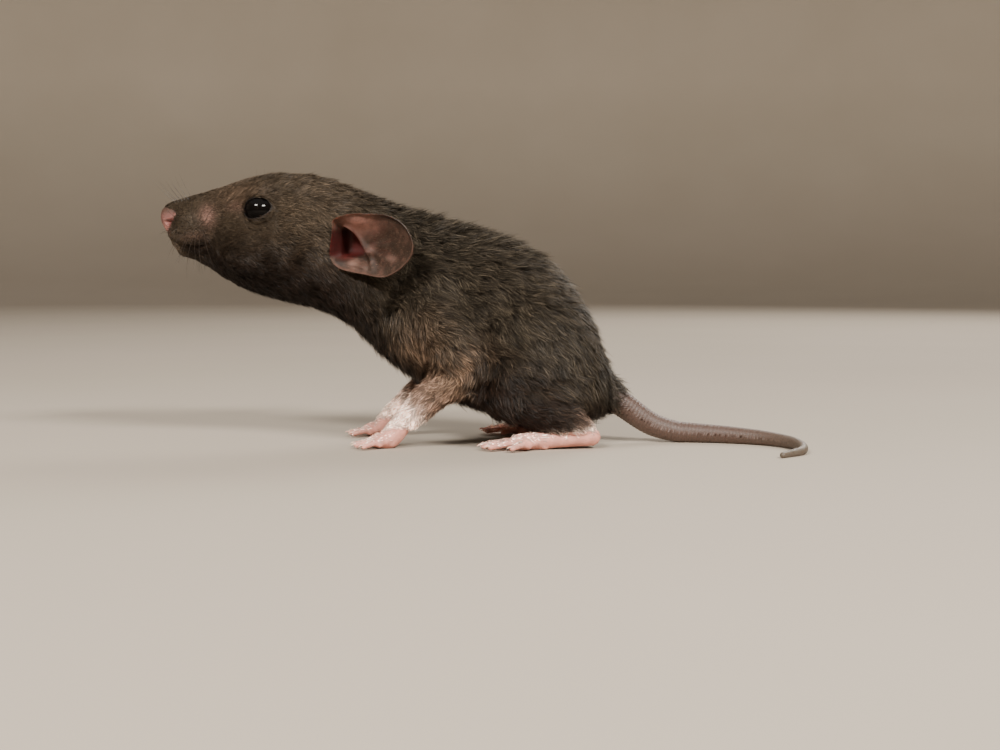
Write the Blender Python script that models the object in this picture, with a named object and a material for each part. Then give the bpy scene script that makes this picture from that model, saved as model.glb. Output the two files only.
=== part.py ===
"""A young dumbo rat, life size, crouching on all four feet with its head raised.

The rat faces -X and its left side is towards -Y. The surfaces are the outside of the coat.
Shapes are worked in millimetres above the floor. The last step turns them to metres and sets
the origin at the middle of the footprint of the whole animal.
"""

import math

import bmesh
import bpy
import numpy as np
from mathutils import Euler, Matrix, Vector

METRES = 0.001
GAP = 0.3
SIDES = (("left", -1), ("right", 1))

# The trunk in side view and from above: x, back, belly, half width, height of the widest line.
TRUNK = {
    "nose tip": (-40.1, 39.0, 37.6, 0.9, 38.4),
    "nose": (-39.7, 39.9, 36.4, 2.1, 38.2),
    "upper lip": (-38.8, 40.6, 34.2, 2.7, 37.6),
    "chin": (-37.3, 41.1, 32.4, 3.4, 37.0),
    "whisker pad": (-35.2, 41.8, 31.1, 4.0, 36.4),
    "bridge": (-32.0, 42.6, 29.4, 4.7, 35.8),
    "cheek": (-28.4, 43.8, 27.0, 6.0, 34.8),
    "eyes": (-24.3, 45.0, 25.2, 7.3, 34.4),
    "forehead": (-19.7, 45.7, 24.0, 8.3, 33.8),
    "ears": (-13.3, 45.1, 22.4, 8.8, 32.8),
    "nape": (-8.0, 43.4, 19.6, 8.6, 31.0),
    "neck": (-1.7, 41.1, 13.6, 8.9, 27.5),
    "shoulders": (5.1, 38.9, 8.6, 10.2, 23.0),
    "ribs": (11.9, 37.1, 5.6, 11.6, 19.5),
    "belly": (18.7, 34.9, 4.4, 12.6, 17.0),
    "loins": (25.5, 30.9, 3.6, 12.8, 15.0),
    "hips": (30.6, 24.6, 3.2, 11.0, 13.2),
    "rump": (33.7, 18.2, 3.8, 7.8, 11.6),
    "tail root": (35.6, 13.4, 6.4, 4.5, 10.4),
    "rump end": (36.2, 11.2, 8.6, 1.4, 10.0),
}
TRUNK_RINGS = 64
TRUNK_SIDES = 40
BODY_VOXEL = 0.6
BODY_TRIANGLES = 3900
REGION_VOXEL = 1.0
REGION_TRIANGLES = 320
SMOOTH_ROUNDS = 9

HEAD_CUT = (-5.2, 32.0, 14.0)
NECK_CUT = (3.4, 28.0, 24.0)
FAR_FRONT = (-60.0, 37.9, 0.0)
FAR_BACK = (60.0, 28.0, 0.0)

MOUTH_LINE = ((-42.0, 34.6), (-38.6, 34.3), (-36.0, 33.5), (-33.4, 33.1), (-31.4, 33.7))
LIP_GAP = 0.48
LIP_DEPTH = 1.35
NOSE_PAD = ((-39.8, 0.0, 37.9), (2.4, 2.7, 2.3))
NOSTRIL = Vector((-39.7, 1.5, 38.2))

EYE = Vector((-22.6, 5.5, 39.05))
EYE_RADIUS = 2.55
LID_HALF = (2.5, 2.15)
LID_THICKNESS = 0.45
LID_STEPS = 20

EAR_ROOT = Vector((-7.4, 8.7, 33.8))
EAR_LEAN = math.radians(28)
EAR_DROOP = math.radians(2)
EAR_TILT = 0.12
EAR_THICKNESS = 0.7
EAR_SIDES = 20
CONCHA_HALF = (2.05, 2.7)
CONCHA_DEPTH = 3.0
CONCHA_SKEW = 0.45
RIM_HALF = (7.85, 5.6)
RIM_CENTRE = (5.05, -0.75)
RIM_LIFT = 2.1
FRONT_LIFT = 0.3

SHOULDER = Vector((5.6, 8.3, 21.5))
ELBOW = Vector((10.6, 9.6, 13.2))
WRIST = Vector((1.4, 8.6, 4.4))
FOREPAW_YAW = math.radians(8)
FAR_FORELEG_STEP = Vector((-2.6, 0.0, 0.0))

HIP = Vector((25.6, 8.2, 17.0))
KNEE = Vector((16.6, 10.9, 9.4))
HEEL = Vector((32.2, 9.6, 1.9))
HINDFOOT_YAW = math.radians(10)

# The middle line of the tail. Where it lies down, its height follows from its thickness.
TAIL_ROUTE = (
    (31.5, 0.0, 10.8),
    (37.6, -0.1, 6.6),
    (43.0, -0.3, 3.0),
    (49.0, -0.8, 1.4),
    (55.5, -2.2, 0.0),
    (61.5, -5.6, 0.0),
    (65.2, -11.2, 0.0),
    (65.0, -17.8, 0.0),
    (61.0, -22.4, 0.0),
)
TAIL_RADIUS = 2.5
TAIL_TIP_RADIUS = 0.5
TAIL_FLAT = 0.08
TAIL_RINGS = 31
TAIL_SIDES = 10
TAIL_PARTS = (("tail_base", 0, 12), ("tail_middle", 12, 21), ("tail_tip", 21, 30))

FINISHES = {
    "coat": ("#3b3833", 0.8),
    "pale_coat": ("#a3968a", 0.8),
    "pink_skin": ("#d49a92", 0.5),
    "ear_skin": ("#7d5a50", 0.5),
    "tail_skin": ("#4a3a34", 0.55),
    "eye": ("#050406", 0.08),
}


def clear_scene():
    for item in list(bpy.data.objects):
        bpy.data.objects.remove(item)


def object_of(name, bm):
    """Gives a bmesh its own object, with its faces turned outwards."""
    bmesh.ops.recalc_face_normals(bm, faces=bm.faces)
    mesh = bpy.data.meshes.new(name)
    bm.to_mesh(mesh)
    bm.free()
    item = bpy.data.objects.new(name, mesh)
    bpy.context.scene.collection.objects.link(item)
    return item


def remove(*items):
    for item in items:
        bpy.data.objects.remove(item)


def finish_modifiers(item):
    """Replaces an object's mesh by what its modifiers make of it."""
    bpy.context.view_layer.update()
    graph = bpy.context.evaluated_depsgraph_get()
    mesh = bpy.data.meshes.new_from_object(item.evaluated_get(graph))
    item.modifiers.clear()
    item.data = mesh
    return item


def copy_of(item, name):
    twin = bpy.data.objects.new(name, item.data.copy())
    bpy.context.scene.collection.objects.link(twin)
    return twin


def boolean(item, operation, *others):
    """Cuts or joins closed meshes, and removes the ones that were used up."""
    for other in others:
        step = item.modifiers.new(operation, "BOOLEAN")
        step.operation = operation
        step.object = other
        step.solver = "MANIFOLD"
        finish_modifiers(item)
    remove(*others)
    return keep_largest(item)


def unite(name, pieces):
    """Joins a node's closed pieces with one Boolean union."""
    group = bpy.data.collections.new(name)
    first, rest = pieces[0], pieces[1:]
    for piece in rest:
        group.objects.link(piece)
    step = first.modifiers.new("union", "BOOLEAN")
    step.operation = "UNION"
    step.operand_type = "COLLECTION"
    step.collection = group
    step.solver = "MANIFOLD"
    finish_modifiers(first)
    remove(*rest)
    bpy.data.collections.remove(group)
    first.name = name
    return keep_largest(first)


def keep_largest(item):
    """Keeps only the largest closed surface of a mesh."""
    bm = bmesh.new()
    bm.from_mesh(item.data)
    left = set(bm.verts)
    islands = []
    while left:
        island = {left.pop()}
        front = list(island)
        while front:
            vert = front.pop()
            for edge in vert.link_edges:
                other = edge.other_vert(vert)
                if other in left:
                    left.discard(other)
                    island.add(other)
                    front.append(other)
        islands.append(island)
    largest = max(islands, key=len)
    scraps = [vert for island in islands if island is not largest for vert in island]
    bmesh.ops.delete(bm, geom=scraps, context="VERTS")
    bmesh.ops.triangulate(bm, faces=bm.faces)
    bm.to_mesh(item.data)
    bm.free()
    return item


def skin_over(name, sections, sides):
    """Bridges a row of sections and closes both ends. Each one moves the unit circle to its place."""
    bm = bmesh.new()
    loops = []
    for place in sections:
        made = bmesh.ops.create_circle(bm, segments=sides, radius=1.0)["verts"]
        loops.append(list({edge for vert in made for edge in vert.link_edges}))
        for vert in made:
            vert.co = place(vert.co.x, vert.co.y)
    for before, after in zip(loops, loops[1:]):
        bmesh.ops.bridge_loops(bm, edges=before + after)
    bmesh.ops.edgeloop_fill(bm, edges=loops[0])
    bmesh.ops.edgeloop_fill(bm, edges=loops[-1])
    return object_of(name, bm)


def smooth_row(rows, count):
    """Reads a row of points as one smooth curve, with its ends included."""
    rows = np.array(rows, float)
    padded = np.vstack([2 * rows[0] - rows[1], rows, 2 * rows[-1] - rows[-2]])
    found = []
    for at in np.linspace(0, len(rows) - 1, count):
        k = min(int(at), len(rows) - 2)
        t = at - k
        a, b, c, d = padded[k : k + 4]
        cubic = (2 * a - 5 * b + 4 * c - d) * t**2 + (3 * b - a - 3 * c + d) * t**3
        found.append(0.5 * (2 * b + (c - a) * t + cubic))
    return found


def trunk_loft(name, inset=0.0, rings=TRUNK_RINGS, sides=TRUNK_SIDES):
    """Head, neck and body as one form, or a smaller copy of it, inset all round."""

    def section(x, back, belly, half, widest):
        def place(u, v):
            reach = back - widest if v > 0 else widest - belly
            return Vector((x, max(half - inset, 0.2) * u, widest + max(reach - inset, 0.2) * v))

        return place

    rows = smooth_row(list(TRUNK.values()), rings)
    return skin_over(name, [section(*row) for row in rows], sides)


def disc(centre, across, up):
    """Moves the unit circle to a round or oval section."""

    def place(u, v):
        return centre + across * u + up * v

    return place


def rings_along(route, radii, count):
    """Even sections of a smooth route: centre, size, sideways axis, upward axis and heading."""
    points = [Vector(row) for row in smooth_row(route, count)]
    sizes = [float(row[0]) for row in smooth_row([[radius] for radius in radii], count)]
    rings = []
    for k in range(count):
        ahead = (points[min(k + 1, count - 1)] - points[max(k - 1, 0)]).normalized()
        side = ahead.cross(Vector((0, 0, 1)))
        side = side.normalized() if side.length > 1e-6 else Vector((0, 1, 0))
        rings.append((points[k], sizes[k], side, side.cross(ahead).normalized(), ahead))
    return rings


def end_ring(ring, way):
    """A smaller section just past the end of a tube, to round it off."""
    centre, size, side, up, ahead = ring
    return (centre + ahead * way * size * 0.6, size * 0.6, side, up, ahead)


def tube(name, route, radii, sides, count, flatten=1.0):
    """A tapered limb along a smooth route, with rounded ends."""
    rings = rings_along(route, radii, count)
    rings = [end_ring(rings[0], -1)] + rings + [end_ring(rings[-1], 1)]
    sections = [disc(at, side * size, up * size * flatten) for at, size, side, up, _ in rings]
    return skin_over(name, sections, sides)


def placing(centre, radii, turn):
    """The matrix that brings a unit form to its size, turn in degrees and place."""
    spin = Euler([math.radians(angle) for angle in turn]).to_matrix().to_4x4()
    return Matrix.Translation(centre) @ spin @ Matrix.Diagonal((*radii, 1.0))


def ellipsoid(name, centre, radii, turn=(0.0, 0.0, 0.0), detail=3):
    bm = bmesh.new()
    bmesh.ops.create_icosphere(bm, subdivisions=detail, radius=1.0)
    bmesh.ops.transform(bm, matrix=placing(centre, radii, turn), verts=bm.verts)
    return object_of(name, bm)


def block(name, matrix):
    """A cube two units wide, moved by a matrix, for cutting."""
    bm = bmesh.new()
    bmesh.ops.create_cube(bm, size=2.0)
    bmesh.ops.transform(bm, matrix=matrix, verts=bm.verts)
    return object_of(name, bm)


def mirrored(point, sign):
    return Vector((point[0], sign * abs(point[1]), point[2]))


def grown(item, name, amount=GAP):
    """A copy of a mesh, swollen by an even amount."""
    twin = copy_of(item, name)
    swell = twin.modifiers.new("swell", "DISPLACE")
    swell.strength = amount
    swell.mid_level = 0.0
    return finish_modifiers(twin)


def flat_soled(item):
    """Cuts a small flat where a piece meets the floor."""
    below = Matrix.Translation((0, 0, -20)) @ Matrix.Diagonal((150, 150, 20, 1))
    return boolean(item, "DIFFERENCE", block("floor", below))


def foreleg_route(sign):
    """Shoulder, upper arm, elbow, forearm and wrist. The far leg stands a little ahead."""
    step = FAR_FORELEG_STEP if sign > 0 else Vector((0, 0, 0))
    upper = (SHOULDER + ELBOW) / 2 + Vector((0.8, 1.0, -0.4))
    fore = ELBOW * 0.45 + WRIST * 0.55
    return [
        mirrored(SHOULDER, sign),
        mirrored(upper, sign),
        mirrored(ELBOW, sign) + step * 0.3,
        mirrored(fore, sign) + step * 0.7,
        mirrored(WRIST, sign) + step,
    ]


def wrist_frame(sign):
    """The middle of the wrist and the way down along the forearm."""
    route = foreleg_route(sign)
    return route[-1], (route[-1] - route[-2]).normalized()


def beyond_wrist(sign, way):
    """A block on one side of the wrist, for parting the foreleg from its paw."""
    wrist, down = wrist_frame(sign)
    turn = down.to_track_quat("Z", "Y").to_matrix().to_4x4()
    reach = 10.0
    away = Matrix.Translation((0, 0, way * (reach - GAP / 2)))
    size = Matrix.Diagonal((reach, reach, reach, 1))
    return block("wrist cut", Matrix.Translation(wrist) @ turn @ away @ size)


def foreleg_tube(name, sign, grow, sides, count):
    wrist, down = wrist_frame(sign)
    route = foreleg_route(sign) + [wrist + down * 1.6]
    radii = [radius + grow for radius in (4.6, 4.4, 3.7, 2.7, 1.95, 1.8)]
    return tube(name, route, radii, sides, count)


def thigh_form(name, sign, grow, detail):
    centre = mirrored(HIP, sign) + Vector((-2.1, 0, -1.6))
    radii = (10.3 + grow, 5.3 + grow, 11.0 + grow)
    return ellipsoid(name, centre, radii, (0, 24, -sign * 11), detail)


def shank_tube(name, sign, grow, sides, count):
    route = [
        mirrored((HIP + KNEE) / 2, sign),
        mirrored(KNEE, sign),
        mirrored((KNEE + HEEL) / 2, sign) + Vector((0, 0, 0.3)),
        mirrored(HEEL, sign) + Vector((-2.0, 0, 1.6)),
    ]
    radii = [radius + grow for radius in (5.2, 4.3, 3.3, 2.1)]
    return tube(name, route, radii, sides, count)


def joined(pieces):
    """Puts the meshes of some objects in the first one, as they are."""
    bm = bmesh.new()
    for piece in pieces:
        bm.from_mesh(piece.data)
    bm.to_mesh(pieces[0].data)
    bm.free()
    remove(*pieces[1:])
    return pieces[0]


def one_skin(pieces, voxel, triangles):
    """Melts closed pieces into one even, softened skin."""
    skin = joined(pieces)
    remesh = skin.modifiers.new("one skin", "REMESH")
    remesh.mode = "VOXEL"
    remesh.voxel_size = voxel
    smooth = skin.modifiers.new("soften", "SMOOTH")
    smooth.factor = 0.5
    smooth.iterations = SMOOTH_ROUNDS
    finish_modifiers(skin)
    fewer = skin.modifiers.new("fewer faces", "DECIMATE")
    fewer.ratio = triangles / (2 * len(skin.data.polygons))
    finish_modifiers(skin)
    return keep_largest(skin)


def whole_body():
    """Head, trunk and legs as one smooth skin, before it is parted."""
    pieces = [trunk_loft("trunk")]
    for side, sign in SIDES:
        pieces += [
            foreleg_tube("foreleg", sign, 0.15, 20, 14),
            thigh_form("thigh", sign, 0.1, 4),
            shank_tube("shank", sign, 0.1, 20, 12),
            ellipsoid("whisker pad", (-34.9, sign * 2.8, 36.1), (3.4, 2.3, 2.8), (0, -8, 0)),
            ellipsoid("cheek", (-22.0, sign * 4.9, 33.0), (7.6, 3.3, 4.8), (0, -14, 0)),
            ellipsoid("orbit", (-22.6, sign * 4.5, 39.6), (4.2, 2.9, 3.4)),
            ellipsoid("shoulder", (5.4, sign * 7.2, 22.6), (7.0, 4.6, 9.6), (0, 18, 0)),
        ]
    pieces.append(ellipsoid("chin", (-35.4, 0, 33.2), (2.8, 2.2, 1.8), (0, -20, 0)))
    return one_skin(pieces, BODY_VOXEL, BODY_TRIANGLES)


def slice_between(name, front, back):
    """The box between two upright planes that lean with the spine: x, z and lean in degrees."""
    bm = bmesh.new()
    reach = 80.0
    corners = []
    for x, z, lean in (front, back):
        tilt = math.radians(lean)
        up = Vector((math.sin(tilt), 0, math.cos(tilt)))
        for along, across in ((-1, -1), (1, -1), (1, 1), (-1, 1)):
            corners.append(bm.verts.new(Vector((x, reach * across, z)) + up * reach * along))
    first, second = corners[:4], corners[4:]
    bm.faces.new(first)
    bm.faces.new(second)
    for k in range(4):
        bm.faces.new((first[k], first[(k + 1) % 4], second[(k + 1) % 4], second[k]))
    return object_of(name, bm)


def trunk_part(body, name, front, back):
    """The part of the skin between two cuts, half a gap short of each."""
    front = (front[0] + GAP / 2, *front[1:])
    back = (back[0] - GAP / 2, *back[1:])
    return boolean(copy_of(body, name), "INTERSECT", slice_between("slice", front, back))


def mouth_cutter():
    """The groove between the lips: a thin bent slab round the front of the snout."""
    bm = bmesh.new()
    half = LIP_GAP / 2
    profile = [(x, z + half) for x, z in MOUTH_LINE]
    profile += [(x, z - half) for x, z in reversed(MOUTH_LINE)]
    face = bm.faces.new([bm.verts.new((x, -8.0, z)) for x, z in profile])
    bmesh.ops.triangulate(bm, faces=[face])
    made = bmesh.ops.extrude_face_region(bm, geom=bm.faces[:])["geom"]
    moved = [item for item in made if isinstance(item, bmesh.types.BMVert)]
    bmesh.ops.translate(bm, verts=moved, vec=(0, 16.0, 0))
    slab = object_of("mouth slab", bm)
    return boolean(slab, "DIFFERENCE", trunk_loft("mouth core", LIP_DEPTH, 30, 20))


def nose_form(name, grow):
    """The rounded pad of bare skin at the tip of the snout."""
    centre, radii = NOSE_PAD
    return ellipsoid(name, centre, [radius + grow for radius in radii], detail=2)


def nostril_cutter(sign):
    turn = (0, 24, sign * 38)
    return ellipsoid("nostril", mirrored(NOSTRIL, sign), (0.95, 0.55, 0.55), turn, 2)


def eye_direction(sign):
    """The eye looks out to the side, a little up and forward."""
    return Vector((-0.22, sign, 0.24)).normalized()


def lid_ring(sign):
    """The rim of the lids, an oval that lies on the ball of the eye."""
    outward = eye_direction(sign)
    turn = outward.to_track_quat("Z", "Y").to_matrix()
    bm = bmesh.new()
    loops = []
    for k in range(LID_STEPS):
        angle = math.tau * k / LID_STEPS
        spoke = turn @ Vector((LID_HALF[0] * math.cos(angle), LID_HALF[1] * math.sin(angle), 0))
        lift = math.sqrt(max((EYE_RADIUS + 0.1) ** 2 - spoke.length_squared, 0.1))
        centre = mirrored(EYE, sign) + spoke + outward * lift
        place = disc(centre, spoke.normalized() * LID_THICKNESS, outward * LID_THICKNESS)
        made = bmesh.ops.create_circle(bm, segments=7, radius=1.0)["verts"]
        loops.append(list({edge for vert in made for edge in vert.link_edges}))
        for vert in made:
            vert.co = place(vert.co.x, vert.co.y)
    for k in range(LID_STEPS):
        bmesh.ops.bridge_loops(bm, edges=loops[k] + loops[(k + 1) % LID_STEPS])
    return object_of("lids", bm)


def ear_axes(sign):
    """The ear's own axes: back along its length, up, and out of the cup."""
    along = Vector((math.cos(EAR_LEAN), sign * math.sin(EAR_LEAN), -math.sin(EAR_DROOP)))
    along.normalize()
    up = Vector((0, sign * EAR_TILT, 1))
    up = (up - along * up.dot(along)).normalized()
    return along, up, along.cross(up) * -sign


def concha_section(sign, scale, extra, depth):
    """A section of the hollow at the root of the ear, with its wall's thickness added."""
    along, up, out = ear_axes(sign)
    centre = mirrored(EAR_ROOT, sign) + out * depth + along * CONCHA_SKEW * min(depth, 0.0)
    long, tall = (scale * (half + extra) for half in CONCHA_HALF)
    return disc(centre, along * long, up * tall)


def cup_section(sign, share, thickness):
    """A section of the flaring cup, from the hollow's edge (0) to the rim (1)."""
    along, up, out = ear_axes(sign)
    root = mirrored(EAR_ROOT, sign)

    def place(u, v):
        square = 1 - 0.3 * max(-u, 0)
        wide = math.copysign(abs(u) ** square, u)
        tall = math.copysign(abs(v) ** square, v)
        inner = ((CONCHA_HALF[0] + thickness) * u, (CONCHA_HALF[1] + thickness) * v)
        outer = (RIM_CENTRE[0] + RIM_HALF[0] * wide, RIM_CENTRE[1] + RIM_HALF[1] * tall)
        s, t = (a + (b - a) * share for a, b in zip(inner, outer))
        lift = -0.7 + RIM_LIFT * (0.45 * share + 0.55 * share**2)
        lift += FRONT_LIFT * share * max(-u, 0) - thickness
        return root + along * s + up * t + out * lift

    return place


def ear(name, sign, sides=EAR_SIDES, shares=(0.12, 0.3, 0.5, 0.7, 0.88, 1.0)):
    """A round, thin cup on the side of the head, with the hollow near its front edge."""
    pit = ((0.08, -CONCHA_DEPTH), (0.65, -CONCHA_DEPTH + 0.2), (0.95, -1.9), (1.0, -0.9))
    sections = [concha_section(sign, scale, 0.0, depth) for scale, depth in pit]
    sections += [cup_section(sign, share, 0.0) for share in shares]
    thin = [EAR_THICKNESS * (1.0 - 0.3 * share) for share in shares]
    sections += [cup_section(sign, s, t) for s, t in zip(reversed(shares), reversed(thin))]
    wall = ((1.0, -1.9), (1.0, -2.6), (0.7, -CONCHA_DEPTH - 0.8), (0.08, -CONCHA_DEPTH - 0.9))
    sections += [concha_section(sign, scale, EAR_THICKNESS, depth) for scale, depth in wall]
    return skin_over(name, sections, sides)


def ear_room(sign):
    """Two cutters that keep the head clear of the ear: a pocket for its root, and its cup."""
    room = EAR_THICKNESS + GAP
    depths = (-CONCHA_DEPTH - 0.9 - GAP, 0.0, 8.0)
    sections = [concha_section(sign, 1.0, room, depth) for depth in depths]
    pocket = skin_over("ear pocket", sections, EAR_SIDES)
    plain = ear("plain ear", sign, EAR_SIDES // 2, (0.12, 0.5, 1.0))
    cup = grown(plain, "ear cup", GAP + 0.15)
    remove(plain)
    return pocket, cup


def digit(name, start, heading, length, radius, claw):
    """One toe, arched and blunt, with its claw."""
    ahead = Vector((math.cos(heading), math.sin(heading), 0))
    lift = Vector((0, 0, 1))
    route = [
        start,
        start + ahead * length * 0.35 + lift * radius * 0.5,
        start + ahead * length * 0.72 + lift * radius * 0.1,
        start + ahead * length - lift * radius * 0.15,
    ]
    radii = [radius * share for share in (1.05, 0.95, 0.88, 0.8)]
    toe = tube(name, route, radii, 7, 4)
    tip = route[-1] + ahead * radius * 0.3 + lift * radius * 0.25
    nail_route = [tip, tip + ahead * claw * 0.6, tip + ahead * claw - lift * radius * 0.45]
    nail = tube(name + " claw", nail_route, [0.3, 0.22, 0.12], 5, 2)
    return [toe, nail]


def forepaw(name, sign):
    """Wrist, palm and four fingers, flat on the floor."""
    wrist, down = wrist_frame(sign)
    heading = math.pi - sign * FOREPAW_YAW
    ahead = Vector((math.cos(heading), math.sin(heading), 0))
    side = Vector((-ahead.y, ahead.x, 0))
    palm = wrist + ahead * 2.6
    palm.z = 1.55
    knuckles = wrist + ahead * 4.6
    knuckles.z = 1.1
    route = [wrist - down, wrist + down, palm, knuckles]
    pad = palm * 0.4 + knuckles * 0.6
    pieces = [
        tube(name, route, [1.95, 1.9, 1.75, 1.25], 12, 6),
        ellipsoid("palm", pad, (2.3, 2.35, 1.2), (0, 0, math.degrees(heading)), 2),
    ]
    spread = (-26, -9, 9, 26)
    reach = (3.0, 3.9, 3.9, 3.2)
    for k in range(4):
        root = knuckles + side * (-1.65 + 1.1 * k) - ahead * 0.3
        root.z = 0.72
        pieces += digit("finger", root, heading + math.radians(spread[k]), reach[k], 0.6, 0.9)
    paw = boolean(unite(name, pieces), "DIFFERENCE", beyond_wrist(sign, -1))
    return flat_soled(paw)


def hindfoot_line(sign):
    """The line of the sole from heel to toes, and its heading as an angle."""
    heading = math.pi - sign * HINDFOOT_YAW
    ahead = Vector((math.cos(heading), math.sin(heading), 0))
    route = []
    for reach, height in ((0.0, 1.9), (4.5, 1.65), (9.0, 1.45), (12.6, 1.2)):
        point = mirrored(HEEL, sign) + ahead * reach
        point.z = height
        route.append(point)
    return route, heading, ahead


def hindfoot_core(name, sign, grow):
    route, *_ = hindfoot_line(sign)
    radii = [radius + grow for radius in (1.7, 1.75, 1.85, 1.6)]
    return tube(name, route, radii, 12, 6, 0.95)


def hindfoot(name, sign):
    """The long sole from the heel to five toes, flat on the floor."""
    route, heading, ahead = hindfoot_line(sign)
    side = Vector((-ahead.y, ahead.x, 0))
    turn = (0, 0, math.degrees(heading))
    ball = ellipsoid("ball", route[3] - ahead, (2.9, 2.9, 1.35), turn, 2)
    pieces = [hindfoot_core(name, sign, 0.0), ball]
    spread = (-30, -13, 0, 13, 30)
    reach = (3.4, 4.9, 5.3, 4.9, 3.6)
    back = (1.9, 0.3, 0.0, 0.3, 1.7)
    for k in range(5):
        root = route[3] + side * (-2.2 + 1.1 * k) + ahead * (0.2 - back[k])
        root.z = 0.82
        pieces += digit("toe", root, heading + math.radians(spread[k]), reach[k], 0.7, 1.1)
    return flat_soled(unite(name, pieces))


def tail_rings():
    """Sections of the whole tail. It tapers evenly and lies down behind the rump."""
    radii = [TAIL_RADIUS + (TAIL_TIP_RADIUS - TAIL_RADIUS) * k / 8 for k in range(9)]
    rings = []
    for centre, size, side, up, ahead in rings_along(TAIL_ROUTE, radii, TAIL_RINGS):
        centre.z = max(centre.z, size - TAIL_FLAT)
        rings.append((centre, size, side, up, ahead))
    return rings


def tail_part(name, first, last):
    """One length of the tail, half a gap short of the cuts at its ends."""
    rings = tail_rings()
    part = rings[first : last + 1]
    start, end = part[0], part[-1]
    part[0] = (start[0] + start[4] * GAP / 2, *start[1:])
    part[-1] = (end[0] - end[4] * GAP / 2, *end[1:])
    if last == len(rings) - 1:
        part.append(end_ring(part[-1], 1))
    sections = [disc(at, side * size, up * size) for at, size, side, up, _ in part]
    return flat_soled(skin_over(name, sections, TAIL_SIDES))


def material(name):
    """One plain finish. Its colour is sRGB hex."""
    colour, roughness = FINISHES[name]
    made = bpy.data.materials.new(name)
    made.use_nodes = True
    shader = made.node_tree.nodes["Principled BSDF"]
    parts = [int(colour[k : k + 2], 16) / 255 for k in (1, 3, 5)]
    linear = [c / 12.92 if c <= 0.04045 else ((c + 0.055) / 1.055) ** 2.4 for c in parts]
    shader.inputs["Base Color"].default_value = (*linear, 1.0)
    shader.inputs["Roughness"].default_value = roughness
    return made


def part_foreleg(body, side, sign, trunk):
    """Takes a foreleg out of the skin, and its room out of the trunk's parts."""
    tube_region = foreleg_tube("foreleg region", sign, 1.6, 16, 12)
    region = one_skin([tube_region], REGION_VOXEL, REGION_TRIANGLES)
    room = grown(region, "foreleg room")
    leg = boolean(copy_of(body, "foreleg_" + side), "INTERSECT", region)
    leg = boolean(leg, "DIFFERENCE", beyond_wrist(sign, 1))
    for part in ("torso", "neck"):
        boolean(trunk[part], "DIFFERENCE", copy_of(room, "room"))
    return leg, room


def part_hindleg(body, side, sign, trunk, foreleg_room):
    """Takes a hind leg out of the skin, and its room out of the torso."""
    thigh = thigh_form("hindleg region", sign, 1.0, 3)
    shank = shank_tube("shank region", sign, 1.4, 16, 10)
    region = one_skin([thigh, shank], REGION_VOXEL, REGION_TRIANGLES)
    room = grown(region, "hindleg room")
    leg = boolean(copy_of(body, "hindleg_" + side), "INTERSECT", region)
    foot_room = hindfoot_core("foot room", sign, GAP + 0.05)
    boolean(leg, "DIFFERENCE", foot_room, foreleg_room)
    boolean(trunk["torso"], "DIFFERENCE", room)
    return leg


def set_in_place(nodes):
    """Scales to metres, and puts each node's origin in its middle and the whole on its base."""
    corners = np.array([vert.co for node in nodes for vert in node.data.vertices])
    low, high = corners.min(axis=0), corners.max(axis=0)
    base = Vector(((low[0] + high[0]) / 2, (low[1] + high[1]) / 2, 0.0))
    holder = bpy.data.objects.new("dumbo rat", None)
    bpy.context.scene.collection.objects.link(holder)
    for node in nodes:
        points = np.array([vert.co for vert in node.data.vertices])
        middle = Vector((points.min(axis=0) + points.max(axis=0)) / 2)
        shrink = Matrix.Scale(METRES, 4) @ Matrix.Translation(-middle)
        node.data.transform(shrink)
        node.location = (middle - base) * METRES
        node.parent = holder


def finish_of(name):
    """Which finish a node carries."""
    for start, finish in (
        ("forepaw", "pink_skin"),
        ("hindfoot", "pink_skin"),
        ("nose", "pink_skin"),
        ("foreleg", "pale_coat"),
        ("ear", "ear_skin"),
        ("eye", "eye"),
        ("tail", "tail_skin"),
    ):
        if name.startswith(start):
            return finish
    return "coat"


def main():
    clear_scene()
    body = whole_body()
    trunk = {
        "torso": trunk_part(body, "torso", NECK_CUT, FAR_BACK),
        "neck": trunk_part(body, "neck", HEAD_CUT, NECK_CUT),
        "head": trunk_part(body, "head", FAR_FRONT, HEAD_CUT),
        "nose": boolean(copy_of(body, "nose"), "INTERSECT", nose_form("nose pad", 0.0)),
    }
    nodes = []
    for name, first, last in TAIL_PARTS:
        part = tail_part(name, first, last)
        if first == 0:
            boolean(part, "DIFFERENCE", grown(body, "body outside"))
        nodes.append(part)

    boolean(trunk["head"], "DIFFERENCE", nose_form("nose room", GAP), mouth_cutter())
    for side, sign in SIDES:
        nodes.append(forepaw("forepaw_" + side, sign))
        nodes.append(hindfoot("hindfoot_" + side, sign))
        foreleg, foreleg_room = part_foreleg(body, side, sign, trunk)
        nodes.append(foreleg)
        nodes.append(part_hindleg(body, side, sign, trunk, foreleg_room))

        boolean(trunk["nose"], "DIFFERENCE", nostril_cutter(sign))
        eye = ellipsoid("eye_" + side, mirrored(EYE, sign), [EYE_RADIUS] * 3)
        boolean(trunk["head"], "UNION", lid_ring(sign))
        room = [EYE_RADIUS + GAP + 0.15] * 3
        socket = ellipsoid("socket", mirrored(EYE, sign), room, detail=2)
        boolean(trunk["head"], "DIFFERENCE", socket)

        cup = ear("ear_" + side, sign)
        for part in ("head", "neck"):
            boolean(trunk[part], "DIFFERENCE", *ear_room(sign))
        nodes += [eye, cup]
    nodes += list(trunk.values())
    remove(body)

    finishes = {name: material(name) for name in FINISHES}
    for node in nodes:
        node.data.materials.clear()
        node.data.materials.append(finishes[finish_of(node.name)])
    set_in_place(nodes)


main()
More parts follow.
